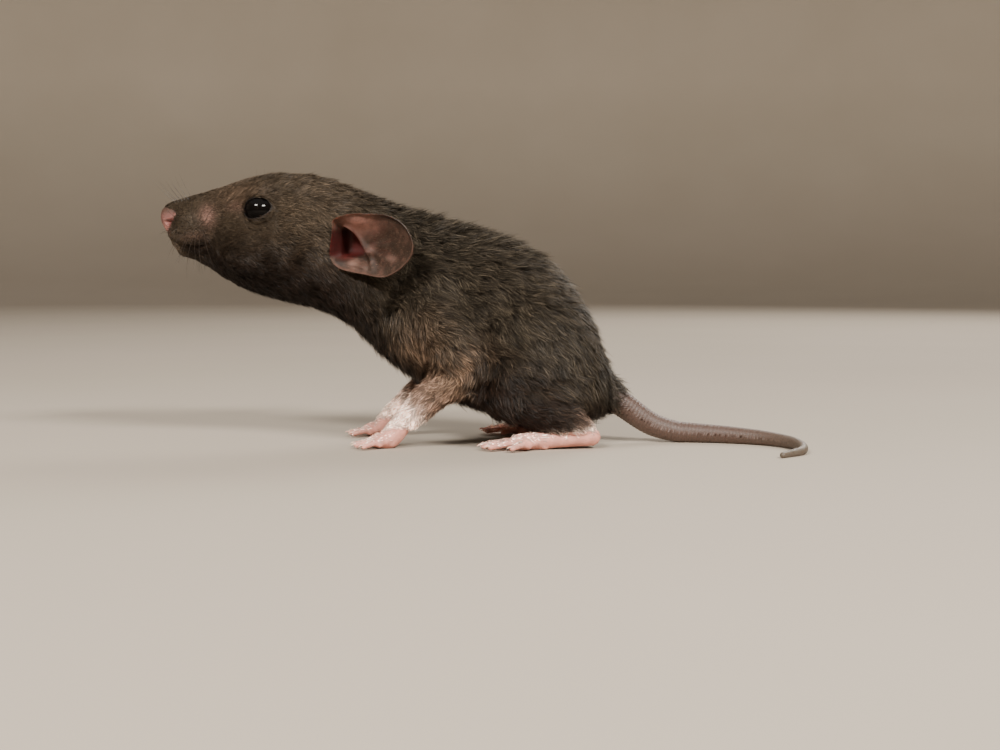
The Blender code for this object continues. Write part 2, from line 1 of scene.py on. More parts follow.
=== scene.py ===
"""The looks of a young dumbo rat: one skin under a short soft coat, round thin ears, glossy eyes,
whiskers, claws and a finely ringed tail.

The rat faces -X and its left side is towards -Y. Shapes are worked in millimetres, and each piece
is brought to metres and to its place when it is finished.
"""

import math

import bmesh
import bpy
import numpy as np
from mathutils import Euler, Matrix, Vector
from mathutils.bvhtree import BVHTree
from mathutils.kdtree import KDTree


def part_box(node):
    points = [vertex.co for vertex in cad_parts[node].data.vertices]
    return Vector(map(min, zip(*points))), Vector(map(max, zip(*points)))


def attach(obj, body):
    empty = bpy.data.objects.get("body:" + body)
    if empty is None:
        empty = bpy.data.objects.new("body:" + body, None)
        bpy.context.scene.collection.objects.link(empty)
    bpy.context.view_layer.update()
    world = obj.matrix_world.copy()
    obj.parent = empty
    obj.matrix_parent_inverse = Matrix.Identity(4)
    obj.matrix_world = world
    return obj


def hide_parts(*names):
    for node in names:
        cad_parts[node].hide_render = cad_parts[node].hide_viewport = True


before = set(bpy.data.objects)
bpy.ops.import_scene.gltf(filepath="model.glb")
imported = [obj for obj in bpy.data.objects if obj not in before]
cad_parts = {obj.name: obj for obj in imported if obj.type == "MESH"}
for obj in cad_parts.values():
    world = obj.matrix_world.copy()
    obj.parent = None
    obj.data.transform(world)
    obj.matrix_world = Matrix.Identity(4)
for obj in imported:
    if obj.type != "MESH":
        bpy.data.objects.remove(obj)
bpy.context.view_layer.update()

METRES = 0.001
SIDES = (("left", -1), ("right", 1))

# The trunk in side view and from above: x, back, belly, half width, height of the widest line.
TRUNK = {
    "nose tip": (-40.3, 39.1, 37.4, 0.8, 38.3),
    "nose": (-39.8, 39.9, 36.4, 1.8, 38.1),
    "lips": (-39.0, 40.5, 35.2, 2.4, 37.6),
    "lower lip": (-38.5, 40.7, 33.8, 2.6, 37.3),
    "chin": (-37.2, 41.1, 32.3, 3.0, 36.8),
    "whisker pad": (-35.2, 41.8, 31.2, 3.8, 36.2),
    "bridge": (-32.0, 42.6, 29.4, 4.7, 35.8),
    "cheek": (-28.4, 43.8, 27.0, 6.0, 34.8),
    "eyes": (-24.3, 45.0, 25.2, 7.3, 34.4),
    "forehead": (-19.7, 45.7, 24.0, 8.3, 33.8),
    "ears": (-13.3, 45.1, 22.4, 8.8, 32.8),
    "nape": (-8.0, 43.4, 19.6, 8.6, 31.0),
    "neck": (-1.7, 41.1, 13.6, 8.9, 27.5),
    "shoulders": (5.1, 38.9, 8.6, 10.2, 23.0),
    "ribs": (11.9, 37.1, 5.6, 11.6, 19.5),
    "belly": (18.7, 34.9, 4.4, 12.6, 17.0),
    "loins": (25.5, 30.9, 3.6, 12.8, 15.0),
    "hips": (30.6, 24.6, 3.2, 11.0, 13.2),
    "rump": (33.7, 18.2, 3.8, 7.8, 11.6),
    "tail root": (35.6, 13.4, 6.4, 4.5, 10.4),
    "rump end": (36.2, 11.2, 8.6, 1.4, 10.0),
}
TRUNK_ROWS = list(TRUNK.values())
EYE = Vector((-22.6, 5.5, 39.05))
EYE_RADIUS = 2.55
EAR_ROOT = Vector((-7.4, 8.7, 33.8))
SHOULDER = Vector((5.6, 8.3, 21.5))
ELBOW = Vector((10.6, 9.6, 13.2))
WRIST = Vector((1.4, 8.6, 4.4))
FOREPAW_YAW = math.radians(8)
FAR_FORELEG_STEP = Vector((-2.6, 0.0, 0.0))
HIP = Vector((25.6, 8.2, 17.0))
KNEE = Vector((16.6, 10.9, 9.4))
HEEL = Vector((32.2, 9.6, 1.9))
HINDFOOT_YAW = math.radians(10)
TAIL_ROUTE = (
    (31.5, 0.0, 10.8),
    (37.6, -0.1, 6.6),
    (43.0, -0.3, 3.0),
    (49.0, -0.8, 1.4),
    (55.5, -2.2, 0.0),
    (61.5, -5.6, 0.0),
    (65.2, -11.2, 0.0),
    (65.0, -17.8, 0.0),
    (61.0, -22.4, 0.0),
)
TAIL_RADIUS = 2.5
TAIL_TIP_RADIUS = 0.5
TAIL_RINGS = 420
SCALE_PITCH = 0.62

# How deep the coat stands over the skin, and how long its hairs are, by x along the trunk.
TRUNK_COAT = (
    (-41, 0.04, 0.4),
    (-38, 0.1, 0.6),
    (-34, 0.2, 0.85),
    (-28, 0.34, 1.15),
    (-21, 0.48, 1.4),
    (-13, 0.75, 1.75),
    (-5, 1.1, 2.1),
    (3, 1.4, 2.4),
    (12, 1.55, 2.7),
    (36, 1.6, 2.9),
)
# The same on the legs, from 0 at the body to 1 at the foot, and on the feet.
LEG_COAT = {
    "fore": ((0, 1.3, 2.4), (0.5, 0.8, 2.0), (0.8, 0.45, 1.5), (1.0, 0.12, 0.9)),
    "hind": ((0, 1.6, 2.9), (0.5, 1.1, 2.4), (0.8, 0.6, 1.6), (1.0, 0.2, 0.9)),
}
FOOT_COAT = (None, 0.06, 0.6)
# How steeply the coat falls down the flanks, by x, and the middle of the whorl on the shoulder.
COAT_FALL = ((-40, 0.0), (-30, 0.04), (-20, 0.1), (-8, 0.3), (4, 0.6), (20, 0.75), (36, 0.9))
WHORL = Vector((-0.6, 8.4, 22.6))

UP = Vector((0, 0, 1))
BODY_VOXEL = 0.42
FOOT_VOXEL = 0.17
LIMB_STEPS = 32
# Every piece stays under 200,000 triangles.
MOST_TRIANGLES = 190000

low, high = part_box("eye_left")
OFFSET = (low + high) / 2 / METRES - Vector((EYE.x, -EYE.y, EYE.z))


def mirrored(point, sign):
    return Vector((point[0], sign * abs(point[1]), point[2]))


def linear(colour):
    """Turns sRGB hex to linear red, green and blue."""
    parts = [int(colour[k : k + 2], 16) / 255 for k in (1, 3, 5)]
    return np.array([c / 12.92 if c <= 0.04045 else ((c + 0.055) / 1.055) ** 2.4 for c in parts])


def smooth(low_end, high_end, value):
    """A soft step from 0 to 1."""
    t = np.clip((value - low_end) / (high_end - low_end), 0.0, 1.0)
    return t * t * (3 - 2 * t)


def by_table(value, table, column=1):
    """Reads one column of a table at a value of its first column."""
    rows = np.array(table, float)
    return np.interp(value, rows[:, 0], rows[:, column])


def bell(value, width):
    """A soft hump, 1 in the middle."""
    return np.exp(-((value / width) ** 2))


def dot(a, b):
    return np.sum(a * b, axis=1)[:, None]


def unit(vectors):
    return vectors / (np.linalg.norm(vectors, axis=1)[:, None] + 1e-9)


def blend(base, colour, share):
    return base + (colour - base) * share[:, None]


# ---------------------------------------------------------------- shapes


def linked(name, data):
    """A new object in the scene."""
    item = bpy.data.objects.new(name, data)
    bpy.context.scene.collection.objects.link(item)
    return item


def object_of(name, bm, outwards=True):
    """Gives a bmesh its own object, with its faces turned outwards."""
    if outwards:
        bmesh.ops.recalc_face_normals(bm, faces=bm.faces)
    mesh = bpy.data.meshes.new(name)
    bm.to_mesh(mesh)
    bm.free()
    return linked(name, mesh)


def finish_modifiers(item):
    """Replaces an object's mesh by what its modifiers make of it."""
    bpy.context.view_layer.update()
    graph = bpy.context.evaluated_depsgraph_get()
    mesh = bpy.data.meshes.new_from_object(item.evaluated_get(graph))
    item.modifiers.clear()
    item.data = mesh
    return item


def joined(name, items):
    """Puts the meshes of some objects in one, as they are."""
    bm = bmesh.new()
    for item in items:
        bm.from_mesh(item.data)
        bpy.data.objects.remove(item)
    return object_of(name, bm, False)


def boolean(item, operation, other):
    """Adds one solid to another or takes it away, and removes its object."""
    step = item.modifiers.new(operation, "BOOLEAN")
    step.operation = operation
    step.object = other
    step.solver = "MANIFOLD"
    finish_modifiers(item)
    bpy.data.objects.remove(other)


def ring_skin(name, rings):
    """Lays a grid over rings of points, sews it shut along its seam and fills both ends."""
    sides = len(rings[0])
    bm = bmesh.new()
    bmesh.ops.create_grid(bm, x_segments=sides, y_segments=len(rings) - 1, size=1.0)
    for k, vert in enumerate(bm.verts):
        vert.co = rings[k // (sides + 1)][k % (sides + 1) % sides]
    bmesh.ops.remove_doubles(bm, verts=bm.verts, dist=1e-6)
    bmesh.ops.holes_fill(bm, edges=[edge for edge in bm.edges if edge.is_boundary], sides=0)
    return object_of(name, bm)


def skin_over(name, sections, sides):
    """Lays a skin over a row of sections. Each one moves the unit circle to its place."""
    circle = [(math.cos(math.tau * k / sides), math.sin(math.tau * k / sides)) for k in range(sides)]
    return ring_skin(name, [[place(u, v) for u, v in circle] for place in sections])


def smooth_row(rows, count):
    """Reads a row of points as one smooth curve, with its ends included."""
    rows = np.array(rows, float)
    padded = np.vstack([2 * rows[0] - rows[1], rows, 2 * rows[-1] - rows[-2]])
    found = []
    for at in np.linspace(0, len(rows) - 1, count):
        k = min(int(at), len(rows) - 2)
        t = at - k
        a, b, c, d = padded[k : k + 4]
        cubic = (2 * a - 5 * b + 4 * c - d) * t**2 + (3 * b - a - 3 * c + d) * t**3
        found.append(0.5 * (2 * b + (c - a) * t + cubic))
    return found


def disc(centre, across, up):
    """Moves the unit circle to a round or oval section."""

    def place(u, v):
        return centre + across * u + up * v

    return place


def trunk_loft():
    """Head, neck and body as one form."""

    def section(x, back, belly, half, widest):
        def place(u, v):
            reach = back - widest if v > 0 else widest - belly
            return Vector((x, half * u, widest + reach * v))

        return place

    return skin_over("trunk", [section(*row) for row in smooth_row(TRUNK_ROWS, 90)], 64)


def smooth_sizes(radii, count):
    return [float(row[0]) for row in smooth_row([[radius] for radius in radii], count)]


def rings_along(route, radii, count):
    """Even sections of a smooth route: centre, size, sideways axis, upward axis and heading."""
    points = [Vector(row) for row in smooth_row(route, count)]
    rings = []
    for k, size in enumerate(smooth_sizes(radii, count)):
        ahead = (points[min(k + 1, count - 1)] - points[max(k - 1, 0)]).normalized()
        side = ahead.cross(UP)
        side = side.normalized() if side.length > 1e-6 else Vector((0, 1, 0))
        rings.append((points[k], size, side, side.cross(ahead).normalized(), ahead))
    return rings


def tube(name, route, radii, sides, count, flatten=1.0):
    """A tapered limb along a smooth route, with rounded ends."""
    rings = rings_along(route, radii, count)
    for way, end in ((-1, rings[0]), (1, rings[-1])):
        centre, size, side, up, ahead = end
        ends = [
            (centre + ahead * way * size * 0.45, size * 0.8, side, up, ahead),
            (centre + ahead * way * size * 0.8, size * 0.35, side, up, ahead),
        ]
        rings = rings + ends if way > 0 else ends[::-1] + rings
    sections = [disc(at, side * size, up * size * flatten) for at, size, side, up, _ in rings]
    return skin_over(name, sections, sides)


def ellipsoid(name, centre, radii, turn=(0.0, 0.0, 0.0), detail=4):
    spin = Euler([math.radians(angle) for angle in turn]).to_matrix().to_4x4()
    place = Matrix.Translation(centre) @ spin @ Matrix.Diagonal((*radii, 1.0))
    bm = bmesh.new()
    bmesh.ops.create_icosphere(bm, subdivisions=detail, radius=1.0)
    bmesh.ops.transform(bm, matrix=place, verts=bm.verts)
    return object_of(name, bm)


def lighter(item, most):
    """Thins a mesh to fewer triangles, which leaves the most where it bends."""
    count = sum(len(face.vertices) - 2 for face in item.data.polygons)
    step = item.modifiers.new("thinner", "DECIMATE")
    step.ratio = min(most / count, 1.0)
    return finish_modifiers(item)


def even_skin(name, pieces, voxel):
    """Melts closed pieces into one even skin."""
    skin = joined(name, pieces)
    remesh = skin.modifiers.new("one skin", "REMESH")
    remesh.mode = "VOXEL"
    remesh.voxel_size = voxel
    return finish_modifiers(skin)


def points_of(mesh, kind="co"):
    flat = np.empty(len(mesh.vertices) * 3)
    mesh.vertices.foreach_get(kind, flat)
    return flat.reshape(-1, 3)


def normals_of(mesh):
    return points_of(mesh, "normal")


def set_points(mesh, points):
    mesh.vertices.foreach_set("co", points.astype(np.float32).ravel())
    mesh.update()


def soften(mesh, rounds, share=1.0):
    """Draws each point towards the middle of its neighbours."""
    ends = np.empty(len(mesh.edges) * 2, np.int32)
    mesh.edges.foreach_get("vertices", ends)
    a, b = ends.reshape(-1, 2).T
    points = points_of(mesh)
    count = np.bincount(a, minlength=len(points)) + np.bincount(b, minlength=len(points))
    pull = 0.5 * (share if np.ndim(share) == 0 else share[:, None])
    for _ in range(rounds):
        total = np.empty_like(points)
        for axis in range(3):
            total[:, axis] = np.bincount(a, points[b, axis], len(points))
            total[:, axis] += np.bincount(b, points[a, axis], len(points))
        points += (total / count[:, None] - points) * pull
    set_points(mesh, points)


def finer(item, inside):
    """Divides the faces whose corners all lie inside a region."""
    bm = bmesh.new()
    bm.from_mesh(item.data)
    chosen = inside(points_of(item.data))
    edges = [edge for edge in bm.edges if all(chosen[vert.index] for vert in edge.verts)]
    bmesh.ops.subdivide_edges(bm, edges=edges, cuts=1, smooth=0.0, use_grid_fill=True)
    bm.to_mesh(item.data)
    bm.free()


def to_place(item, name=None):
    """Brings a finished piece from working millimetres to metres and its place."""
    item.data.transform(Matrix.Scale(METRES, 4) @ Matrix.Translation(OFFSET))
    if name:
        item.name = name
    item.data.polygons.foreach_set("use_smooth", [True] * len(item.data.polygons))
    item.data.update()
    return item


def store(mesh, name, kind, values):
    """Keeps a value for each point of a mesh as a named attribute."""
    if kind == "FLOAT_COLOR":
        values = np.hstack([values, np.ones((len(values), 1))])
    slot = {"FLOAT_COLOR": "color", "FLOAT_VECTOR": "vector", "FLOAT": "value"}[kind]
    layer = mesh.attributes.new(name, kind, "POINT")
    layer.data.foreach_set(slot, values.astype(np.float32).ravel())


# ---------------------------------------------------------------- limbs


def foreleg_route(sign):
    """Shoulder, upper arm, elbow, forearm and wrist. The far leg stands a little ahead."""
    step = FAR_FORELEG_STEP if sign > 0 else Vector((0, 0, 0))
    upper = (SHOULDER + ELBOW) / 2 + Vector((0.8, 1.0, -0.4))
    fore = ELBOW * 0.45 + WRIST * 0.55
    return [
        mirrored(SHOULDER, sign),
        mirrored(upper, sign),
        mirrored(ELBOW, sign) + step * 0.3,
        mirrored(fore, sign) + step * 0.7,
        mirrored(WRIST, sign) + step,
    ]


def hindleg_route(sign):
    return [
        mirrored(HIP, sign),
        mirrored((HIP + KNEE) / 2, sign),
        mirrored(KNEE, sign),
        mirrored((KNEE + HEEL) / 2, sign) + Vector((0, 0, 0.3)),
        mirrored(HEEL, sign) + Vector((-1.0, 0, 1.0)),
    ]


FORELEG_RADII = (4.6, 4.4, 3.7, 2.7, 1.95)
HINDLEG_RADII = (7.0, 6.0, 4.6, 3.4, 2.1)


def limb_line(route):
    return np.array(smooth_row(route, LIMB_STEPS + 1))


def near_limb(points, route, radii):
    """How much each point belongs to a limb, how far along it lies, and the way the limb runs."""
    line = limb_line(route)
    heading = unit(np.gradient(line, axis=0))
    gap = np.linalg.norm(points[:, None, :] - line, axis=2) - np.array(smooth_sizes(radii, len(line)))
    nearest = gap.argmin(axis=1)
    share = 1.0 - smooth(0.2, 2.6, gap[np.arange(len(points)), nearest])
    return share, nearest / LIMB_STEPS, heading[nearest]


def limb_routes(sign):
    return (
        ("fore", foreleg_route(sign), FORELEG_RADII),
        ("hind", hindleg_route(sign), HINDLEG_RADII),
    )


def limbs_at(points):
    """For all four limbs: kind, side, share, place along and heading."""
    found = []
    for _, sign in SIDES:
        same_side = smooth(-1.0, 2.0, points[:, 1] * sign)
        for kind, route, radii in limb_routes(sign):
            share, along, heading = near_limb(points, route, radii)
            found.append((kind, sign, share * same_side, along, heading))
    return found


# ---------------------------------------------------------------- coat maps


def spine_axis(x):
    """Height of the trunk's middle line at x, and its slope."""
    before, height, after = (
        (by_table(at, TRUNK_ROWS, 1) + by_table(at, TRUNK_ROWS, 2)) / 2 for at in (x - 2, x, x + 2)
    )
    return height, (after - before) / 4


def coat_at(points, limbs):
    """Depth and hair length of the coat at each point."""
    foot = feet_at(points)
    found = []
    for column in (1, 2):
        value = by_table(points[:, 0], TRUNK_COAT, column)
        for kind, _, share, along, _ in limbs:
            weight = share * smooth(0.1, 0.5, along)
            value += (by_table(along, LEG_COAT[kind], column) - value) * weight
        found.append(value + (FOOT_COAT[column] - value) * foot)
    return found


def waves(points, seed, count, shortest, longest):
    """Soft lumpy noise from a seeded sum of waves, about -1 to 1."""
    draw = np.random.default_rng(seed)
    ways = unit(draw.normal(size=(count, 3)))
    pace = math.tau / np.exp(draw.uniform(np.log(shortest), np.log(longest), count))
    phase = draw.uniform(0, math.tau, count)
    total = sum(np.sin(points @ way * rate + start) for way, rate, start in zip(ways, pace, phase))
    return total / math.sqrt(count / 2) * 0.6


def laid_flat(ways, normals):
    """Turns directions to run along the skin."""
    return unit(ways - normals * dot(ways, normals))


def lie_of(points, normals, limbs):
    """Which way the coat lies: back from the nose, down over the sides, and down each limb."""
    _, slope = spine_axis(points[:, 0])
    fall = by_table(points[:, 0], COAT_FALL) * (1.0 - normals[:, 2] ** 2)
    way = np.stack([np.ones(len(points)), np.zeros(len(points)), slope * 0.9 - fall], axis=1)
    for kind, _, share, along, heading in limbs:
        start = 0.12 if kind == "fore" else 0.3
        way = blend(way, heading * 1.2, share * smooth(start, start + 0.35, along))
    way = blend(way, np.array([-1.0, 0.0, 0.0]), feet_at(points))
    for _, sign in SIDES:
        for middle, reach, outward, round_it in ((EYE, 3.6, 0.9, 0.0), (WHORL, 2.5, 0.9, 1.5)):
            away = points - np.array(mirrored(middle, sign))
            pull = bell(np.linalg.norm(away, axis=1), reach)[:, None]
            away = unit(away)
            way += (away * outward + np.cross(normals, away) * sign * round_it) * pull
    return laid_flat(way, normals)


# ---------------------------------------------------------------- markings

CROWN = linear("#41372c")
BODY = linear("#302a22")
BROW = linear("#5c4b3d")
# The next two tones are the dark brown of the throat and belly, made darker still as painted shade.
THROAT_BROWN_AND_SHADE = linear("#160c08")
BELLY_BROWN_AND_SHADE = linear("#1a0f09")
UPPER_ARM = linear("#685444")
FOREARM = linear("#80685a")
WRIST_WHITE = linear("#ecd6c8")
THIN_PATCH = linear("#8d6f64")
PINK = linear("#d99a8b")
NOSE_PINK = linear("#6a4741")
NOSE_DARK = linear("#483229")
NOSE_PAINTED_LIGHT = linear("#b07770")
NOSTRIL_RED = linear("#5d1719")
MOUTH_SHADE = linear("#1f1410")
CHIN_PALE = linear("#6f5f50")
LID_DARK = linear("#120c0a")
LID_RIM_GLINT = linear("#5e4c40")
EAR_BROWN = linear("#32241c")
EAR_ROSE = linear("#8a6157")
EAR_PALE = linear("#664a40")
EAR_PAINTED_HIGHLIGHT = linear("#7d6157")
EAR_DARK = linear("#1b110d")
EAR_RED = linear("#4a1614")
PIT_WALL_SHADE = linear("#360f0d")
PIT_RED_PAINTED_LIGHT = linear("#7c2320")
EAR_DOWN = linear("#4f3f34")
TAIL_BROWN = linear("#4d3a32")
TAIL_GREY = linear("#574c41")
TAIL_PALE = linear("#7d665a")


# Soft spots on each side of the head and the shoulder: tone, strength, middle and reach. Some are painted
# light or shade, as noted at their rows.
COAT_SPOTS = (
    (UPPER_ARM, 0.75, (3.5, 9.5, 17.0), (4.2, 4.0, 4.5)),
    (BROW, 0.8, (-27.5, 5.0, 41.5), (4.2, 5.0, 2.4)),
    (THIN_PATCH, 0.95, (-32.0, 4.4, 38.2), (1.2, 2.0, 1.5)),
    (THIN_PATCH, 0.4, (-27.3, 6.0, 39.5), (1.5, 2.0, 0.8)),
    (THIN_PATCH, 0.24, (-34.4, 3.8, 34.9), (2.0, 2.0, 0.7)),
    # Painted shade under the whisker pad and at the corner of the mouth.
    (MOUTH_SHADE, 0.9, (-34.4, 3.2, 32.6), (2.8, 3.0, 1.3)),
    # Painted light: thin pale fur under the nose, lightened where it faces down.
    (THIN_PATCH, 0.7, (-38.8, 1.8, 36.3), (0.9, 1.6, 0.8)),
    (CHIN_PALE, 0.45, (-37.6, 1.4, 33.2), (0.8, 2.0, 1.8)),
)
# The first two spots are painted light: a highlight round the nostril over its pinker skin, and light on
# the pad where it faces down under the nose. The third is the red of the nostril.
NOSE_SPOTS = (
    (NOSE_PAINTED_LIGHT, 0.65, (-37.6, 2.2, 37.2), (1.1, 1.2, 0.9)),
    (NOSE_PAINTED_LIGHT, 0.8, (-38.9, 1.2, 36.2), (1.0, 1.6, 0.8)),
    (NOSTRIL_RED, 1.0, (-37.75, 2.1, 37.15), (0.8, 0.8, 0.55)),
)


def painted(count, base, layers):
    """Lays tones over a base one after the other, each by its share at every point."""
    colour = np.tile(base, (count, 1))
    for tone, share in layers:
        colour = blend(colour, tone, share)
    return colour


def near(points, sign, centre, radii):
    """A soft oval spot on one side of the head."""
    away = (points - np.array(mirrored(centre, sign))) / radii
    return np.exp(-np.sum(away * away, axis=1))


def spots_on(points, spots):
    """The layers of paint for a table of spots, on both sides."""
    return [
        (tone, strength * near(points, sign, centre, radii))
        for _, sign in SIDES
        for tone, strength, centre, radii in spots
    ]


def coat_colour(points, normals, limbs):
    """The markings of the coat: grey-brown, browner on the head, dark below, white to the wrists. The dark
    below is partly the coat's own dark underside and partly painted shade.
    """
    x, y, z = points.T
    below = spine_axis(x)[0] - z
    # Surfaces that face down take the dark throat and belly tones: partly the coat's own darker underside,
    # partly painted shade.
    under = smooth(0.0, 0.85, -normals[:, 2]) * smooth(-1.0, 5.0, below)
    # Under the jaw the dark throat tone is mostly painted shade.
    jaw = smooth(-3.5, 4.8, below) * (1 - smooth(-12, -2, x)) * smooth(-37, -31, x)
    # Along the lower flank, behind the elbow, the dark belly tone is painted shade.
    low = z - 6 + 0.55 * (x - 15) + 1.6 * waves(points, 73, 12, 2.0, 7.0)
    layers = [
        (CROWN, 1.0 - smooth(-14, 0, x)),
        (BELLY_BROWN_AND_SHADE, under * 0.9 * smooth(0, 6, x)),
        (THROAT_BROWN_AND_SHADE, under * 0.85 * (1 - smooth(0, 6, x)) * smooth(-36, -30, x)),
        (THROAT_BROWN_AND_SHADE, jaw * 0.7),
        (BELLY_BROWN_AND_SHADE, 0.9 * (1 - smooth(4, 16, low)) * smooth(10, 14, x)),
    ]
    layers += spots_on(points, COAT_SPOTS)
    # The pale foreleg tones stop behind the elbow, so that the painted shade of the flank stays dark
    # there.
    front = 1.0 - 0.85 * smooth(9.5, 13.5, x + 0.8 * waves(points, 75, 12, 1.0, 3.0))
    edge = 0.06 * waves(points, 5, 10, 0.5, 1.6)
    for kind, _, share, along, _ in limbs:
        if kind == "fore":
            layers += [
                (UPPER_ARM, share * smooth(0.18, 0.46, along + edge) * front),
                (FOREARM, share * smooth(0.52, 0.76, along + edge) * front),
                (WRIST_WHITE, share * smooth(0.76, 0.92, along + edge)),
            ]
        else:
            layers += [
                (FOREARM, share * smooth(0.84, 1.0, along) * 0.7),
                (WRIST_WHITE, share * smooth(0.94, 1.0, along) * 0.6),
            ]
    layers.append((WRIST_WHITE, (1.0 - smooth(2.9, 3.8, z)) * (np.abs(y) > 2.5)))
    return painted(len(points), BODY, layers)


NOSE_PAD = (np.array([-39.0, 0.0, 37.7]), np.array([3.2, 3.0, 2.1]))


def nose_radius(points):
    """Distance from the middle of the nose pad, 1 at its uneven edge."""
    away = np.linalg.norm((points - NOSE_PAD[0]) / NOSE_PAD[1], axis=1)
    return away + 0.07 * waves(points, 71, 12, 0.5, 1.6)


def feet_at(points):
    """Where the skin is that of paws and hind feet."""
    x, y, z = points.T
    found = np.zeros(len(points))
    for _, sign in SIDES:
        wrist = foreleg_route(sign)[-1]
        close = np.hypot(x - wrist.x, y - wrist.y) < 12
        paw = (1.0 - smooth(3.0, 4.4, z)) * close * (x < 12)
        foot = (1.0 - smooth(2.7, 3.7, z)) * (x > 12)
        found = np.maximum(found, (paw + foot) * (y * sign > 2.5))
    return found


def bare_at(points):
    """Where the skin shows no coat: nose, feet, eyelids' edges and the pits of the ears."""
    bare = np.maximum(1.0 - smooth(0.92, 1.14, nose_radius(points)), feet_at(points))
    for _, sign in SIDES:
        rho, out = lid_radius(points, sign)
        bare = np.maximum(bare, (1 - smooth(1.06, 1.16, rho)) * (out > 0))
        s, t, o = in_ear_plane(points, sign).T
        inside = np.hypot((s + 0.5) / 3.2, (t + 0.6) / 3.5) < 1.0
        bare = np.maximum(bare, inside * (np.abs(o) < 6))
    return bare


def skin_colour(points, normals, limbs, bare):
    """The same markings on the skin itself, darker under the coat, and pink where it is bare."""
    snout = 1.0 - smooth(-37.5, -35.0, points[:, 0])
    layers = [(NOSE_PINK, snout), (NOSE_DARK, snout * smooth(38.1, 39.3, points[:, 2]))]
    pink = painted(len(points), PINK, layers + spots_on(points, NOSE_SPOTS))
    wide = np.maximum(feet_at(points), 1.0 - smooth(0.9, 1.15, nose_radius(points)))
    colour = blend(coat_colour(points, normals, limbs) * 0.6, pink, np.minimum(bare, wide))
    for _, sign in SIDES:
        rho, out = lid_radius(points, sign)
        colour = blend(colour, LID_DARK, (1 - smooth(1.1, 1.2, rho)) * (out > 0))
        # Along the lower lid's rim, which faces up, a paler margin carries a painted glint on its wet
        # edge.
        low = smooth(0.1, 0.9, -((points - np.array(mirrored(EYE, sign))) @ eye_axes(sign)[2]) / 1.7)
        colour = blend(colour, LID_RIM_GLINT, bell(rho - 1.16, 0.04) * (out > 0) * low * 0.6)
    return colour


MOUTH_LINE = ((-42.0, 34.6), (-38.6, 34.3), (-36.0, 33.5), (-33.4, 33.1), (-31.4, 33.7))


def mouth_distance(points):
    """Signed height over the line of the mouth, in side view, and large beyond its corner."""
    over = points[:, 2] - by_table(points[:, 0], MOUTH_LINE)
    return over + np.clip(points[:, 0] - MOUTH_LINE[-1][0], 0, None) * 3.0


def eye_axes(sign):
    """The eye looks out to the side, a little up and forward. Its long axis rises to the back."""
    outward = Vector((-0.22, sign, 0.24)).normalized()
    long = Vector((math.cos(math.radians(14)), 0, math.sin(math.radians(14))))
    long = (long - outward * long.dot(outward)).normalized()
    return np.array(outward), np.array(long), np.array(outward.cross(long).normalized())


LID_OPENING = (2.2, 1.6)
LID_DROP = 0.13


def lid_radius(points, sign):
    """Distance from the middle of the eye's opening, 1 at its edge, and how far out a point lies."""
    outward, long, tall = eye_axes(sign)
    local = points - np.array(mirrored(EYE, sign))
    rise = local @ tall + LID_DROP
    return np.hypot(local @ long / LID_OPENING[0], rise / LID_OPENING[1]), local @ outward


def shape_lids(points, sign):
    """Opens the skin over the ball of the eye and turns its edge into a thin rounded lid."""
    outward, long, tall = eye_axes(sign)
    local = points - np.array(mirrored(EYE, sign))
    rho, c = lid_radius(points, sign)
    flat = np.minimum((local @ long) ** 2 + (local @ tall) ** 2, EYE_RADIUS**2 * 0.97)
    inside = np.sqrt(np.maximum(EYE_RADIUS**2 * 0.72 - flat, 0.0)) - 0.2
    edge = np.sqrt(EYE_RADIUS**2 - flat) + 0.12 + 0.1 * bell(rho - 1.1, 0.07)
    target = inside + (edge - inside) * smooth(0.96, 1.05, rho)
    moved = target + (c - target) * smooth(1.14, 1.8, rho)
    reach = (c > -0.5) & (np.linalg.norm(local, axis=1) < 6.0) & (rho < 2.4)
    return points + outward * ((moved - c) * reach)[:, None]


def shape_face(item):
    """Lids, nostrils, the split of the upper lip, the line of the mouth and the whisker dots."""
    mesh = item.data
    points = points_of(mesh)
    for _, sign in SIDES:
        points = shape_lids(points, sign)
    points[:, 1] *= 0.8 + 0.2 * smooth(-39.5, -35.5, points[:, 0])
    set_points(mesh, points)
    normals = normals_of(mesh)
    x, y, z = points.T

    over = mouth_distance(points)
    deep = (x < -29.5) * (z > 29) * by_table(x, ((-39, 0.08), (-37, 0.35), (-34, 0.65), (-31, 0.4)))
    sink = deep * (bell(over, 0.24) - 0.22 * bell(over - 0.75, 0.4) - 0.22 * bell(over + 0.65, 0.4))
    lip_split = (x < -37.0) * smooth(34.2, 34.8, z) * (1 - smooth(38.0, 38.8, z))
    sink += lip_split * 0.34 * bell(y, 0.15)
    sink += (x < -36.0) * 0.1 * bell(nose_radius(points) - 1.06, 0.1)
    for _, sign in SIDES:
        local = points - np.array([-37.85, sign * 2.05, 37.2])
        out = local[:, 1] * sign * 0.8 + local[:, 0] * 0.45 + local[:, 2] * 0.12
        rise = local[:, 2] - out * 0.25 - 0.35 * out**2
        hole = 0.8 * bell(out, 0.6) * bell(rise, 0.34)
        sink += (x < -37.0) * (hole - 0.16 * bell(np.hypot(out, rise * 1.6) - 1.0, 0.28))
        for row, col in whisker_roots():
            at = whisker_root(row, col, sign)
            sink -= (y * sign > 1.2) * 0.07 * bell(np.hypot(x - at.x, z - at.z), 0.2)
    points = points - normals * sink[:, None]
    jaw = smooth(0.0, 1.2, -over) * (1 - smooth(-34, -29, x)) * (z > 29)
    points[:, 1] *= 1 - 0.16 * jaw
    set_points(mesh, points)


def whisker_roots():
    return [(row, col) for row in range(5) for col in range(6 - row // 2)]


def whisker_root(row, col, sign):
    return Vector((-36.9 + 1.0 * col + 0.25 * row, sign * 4.4, 37.9 - 0.76 * row - 0.12 * col))


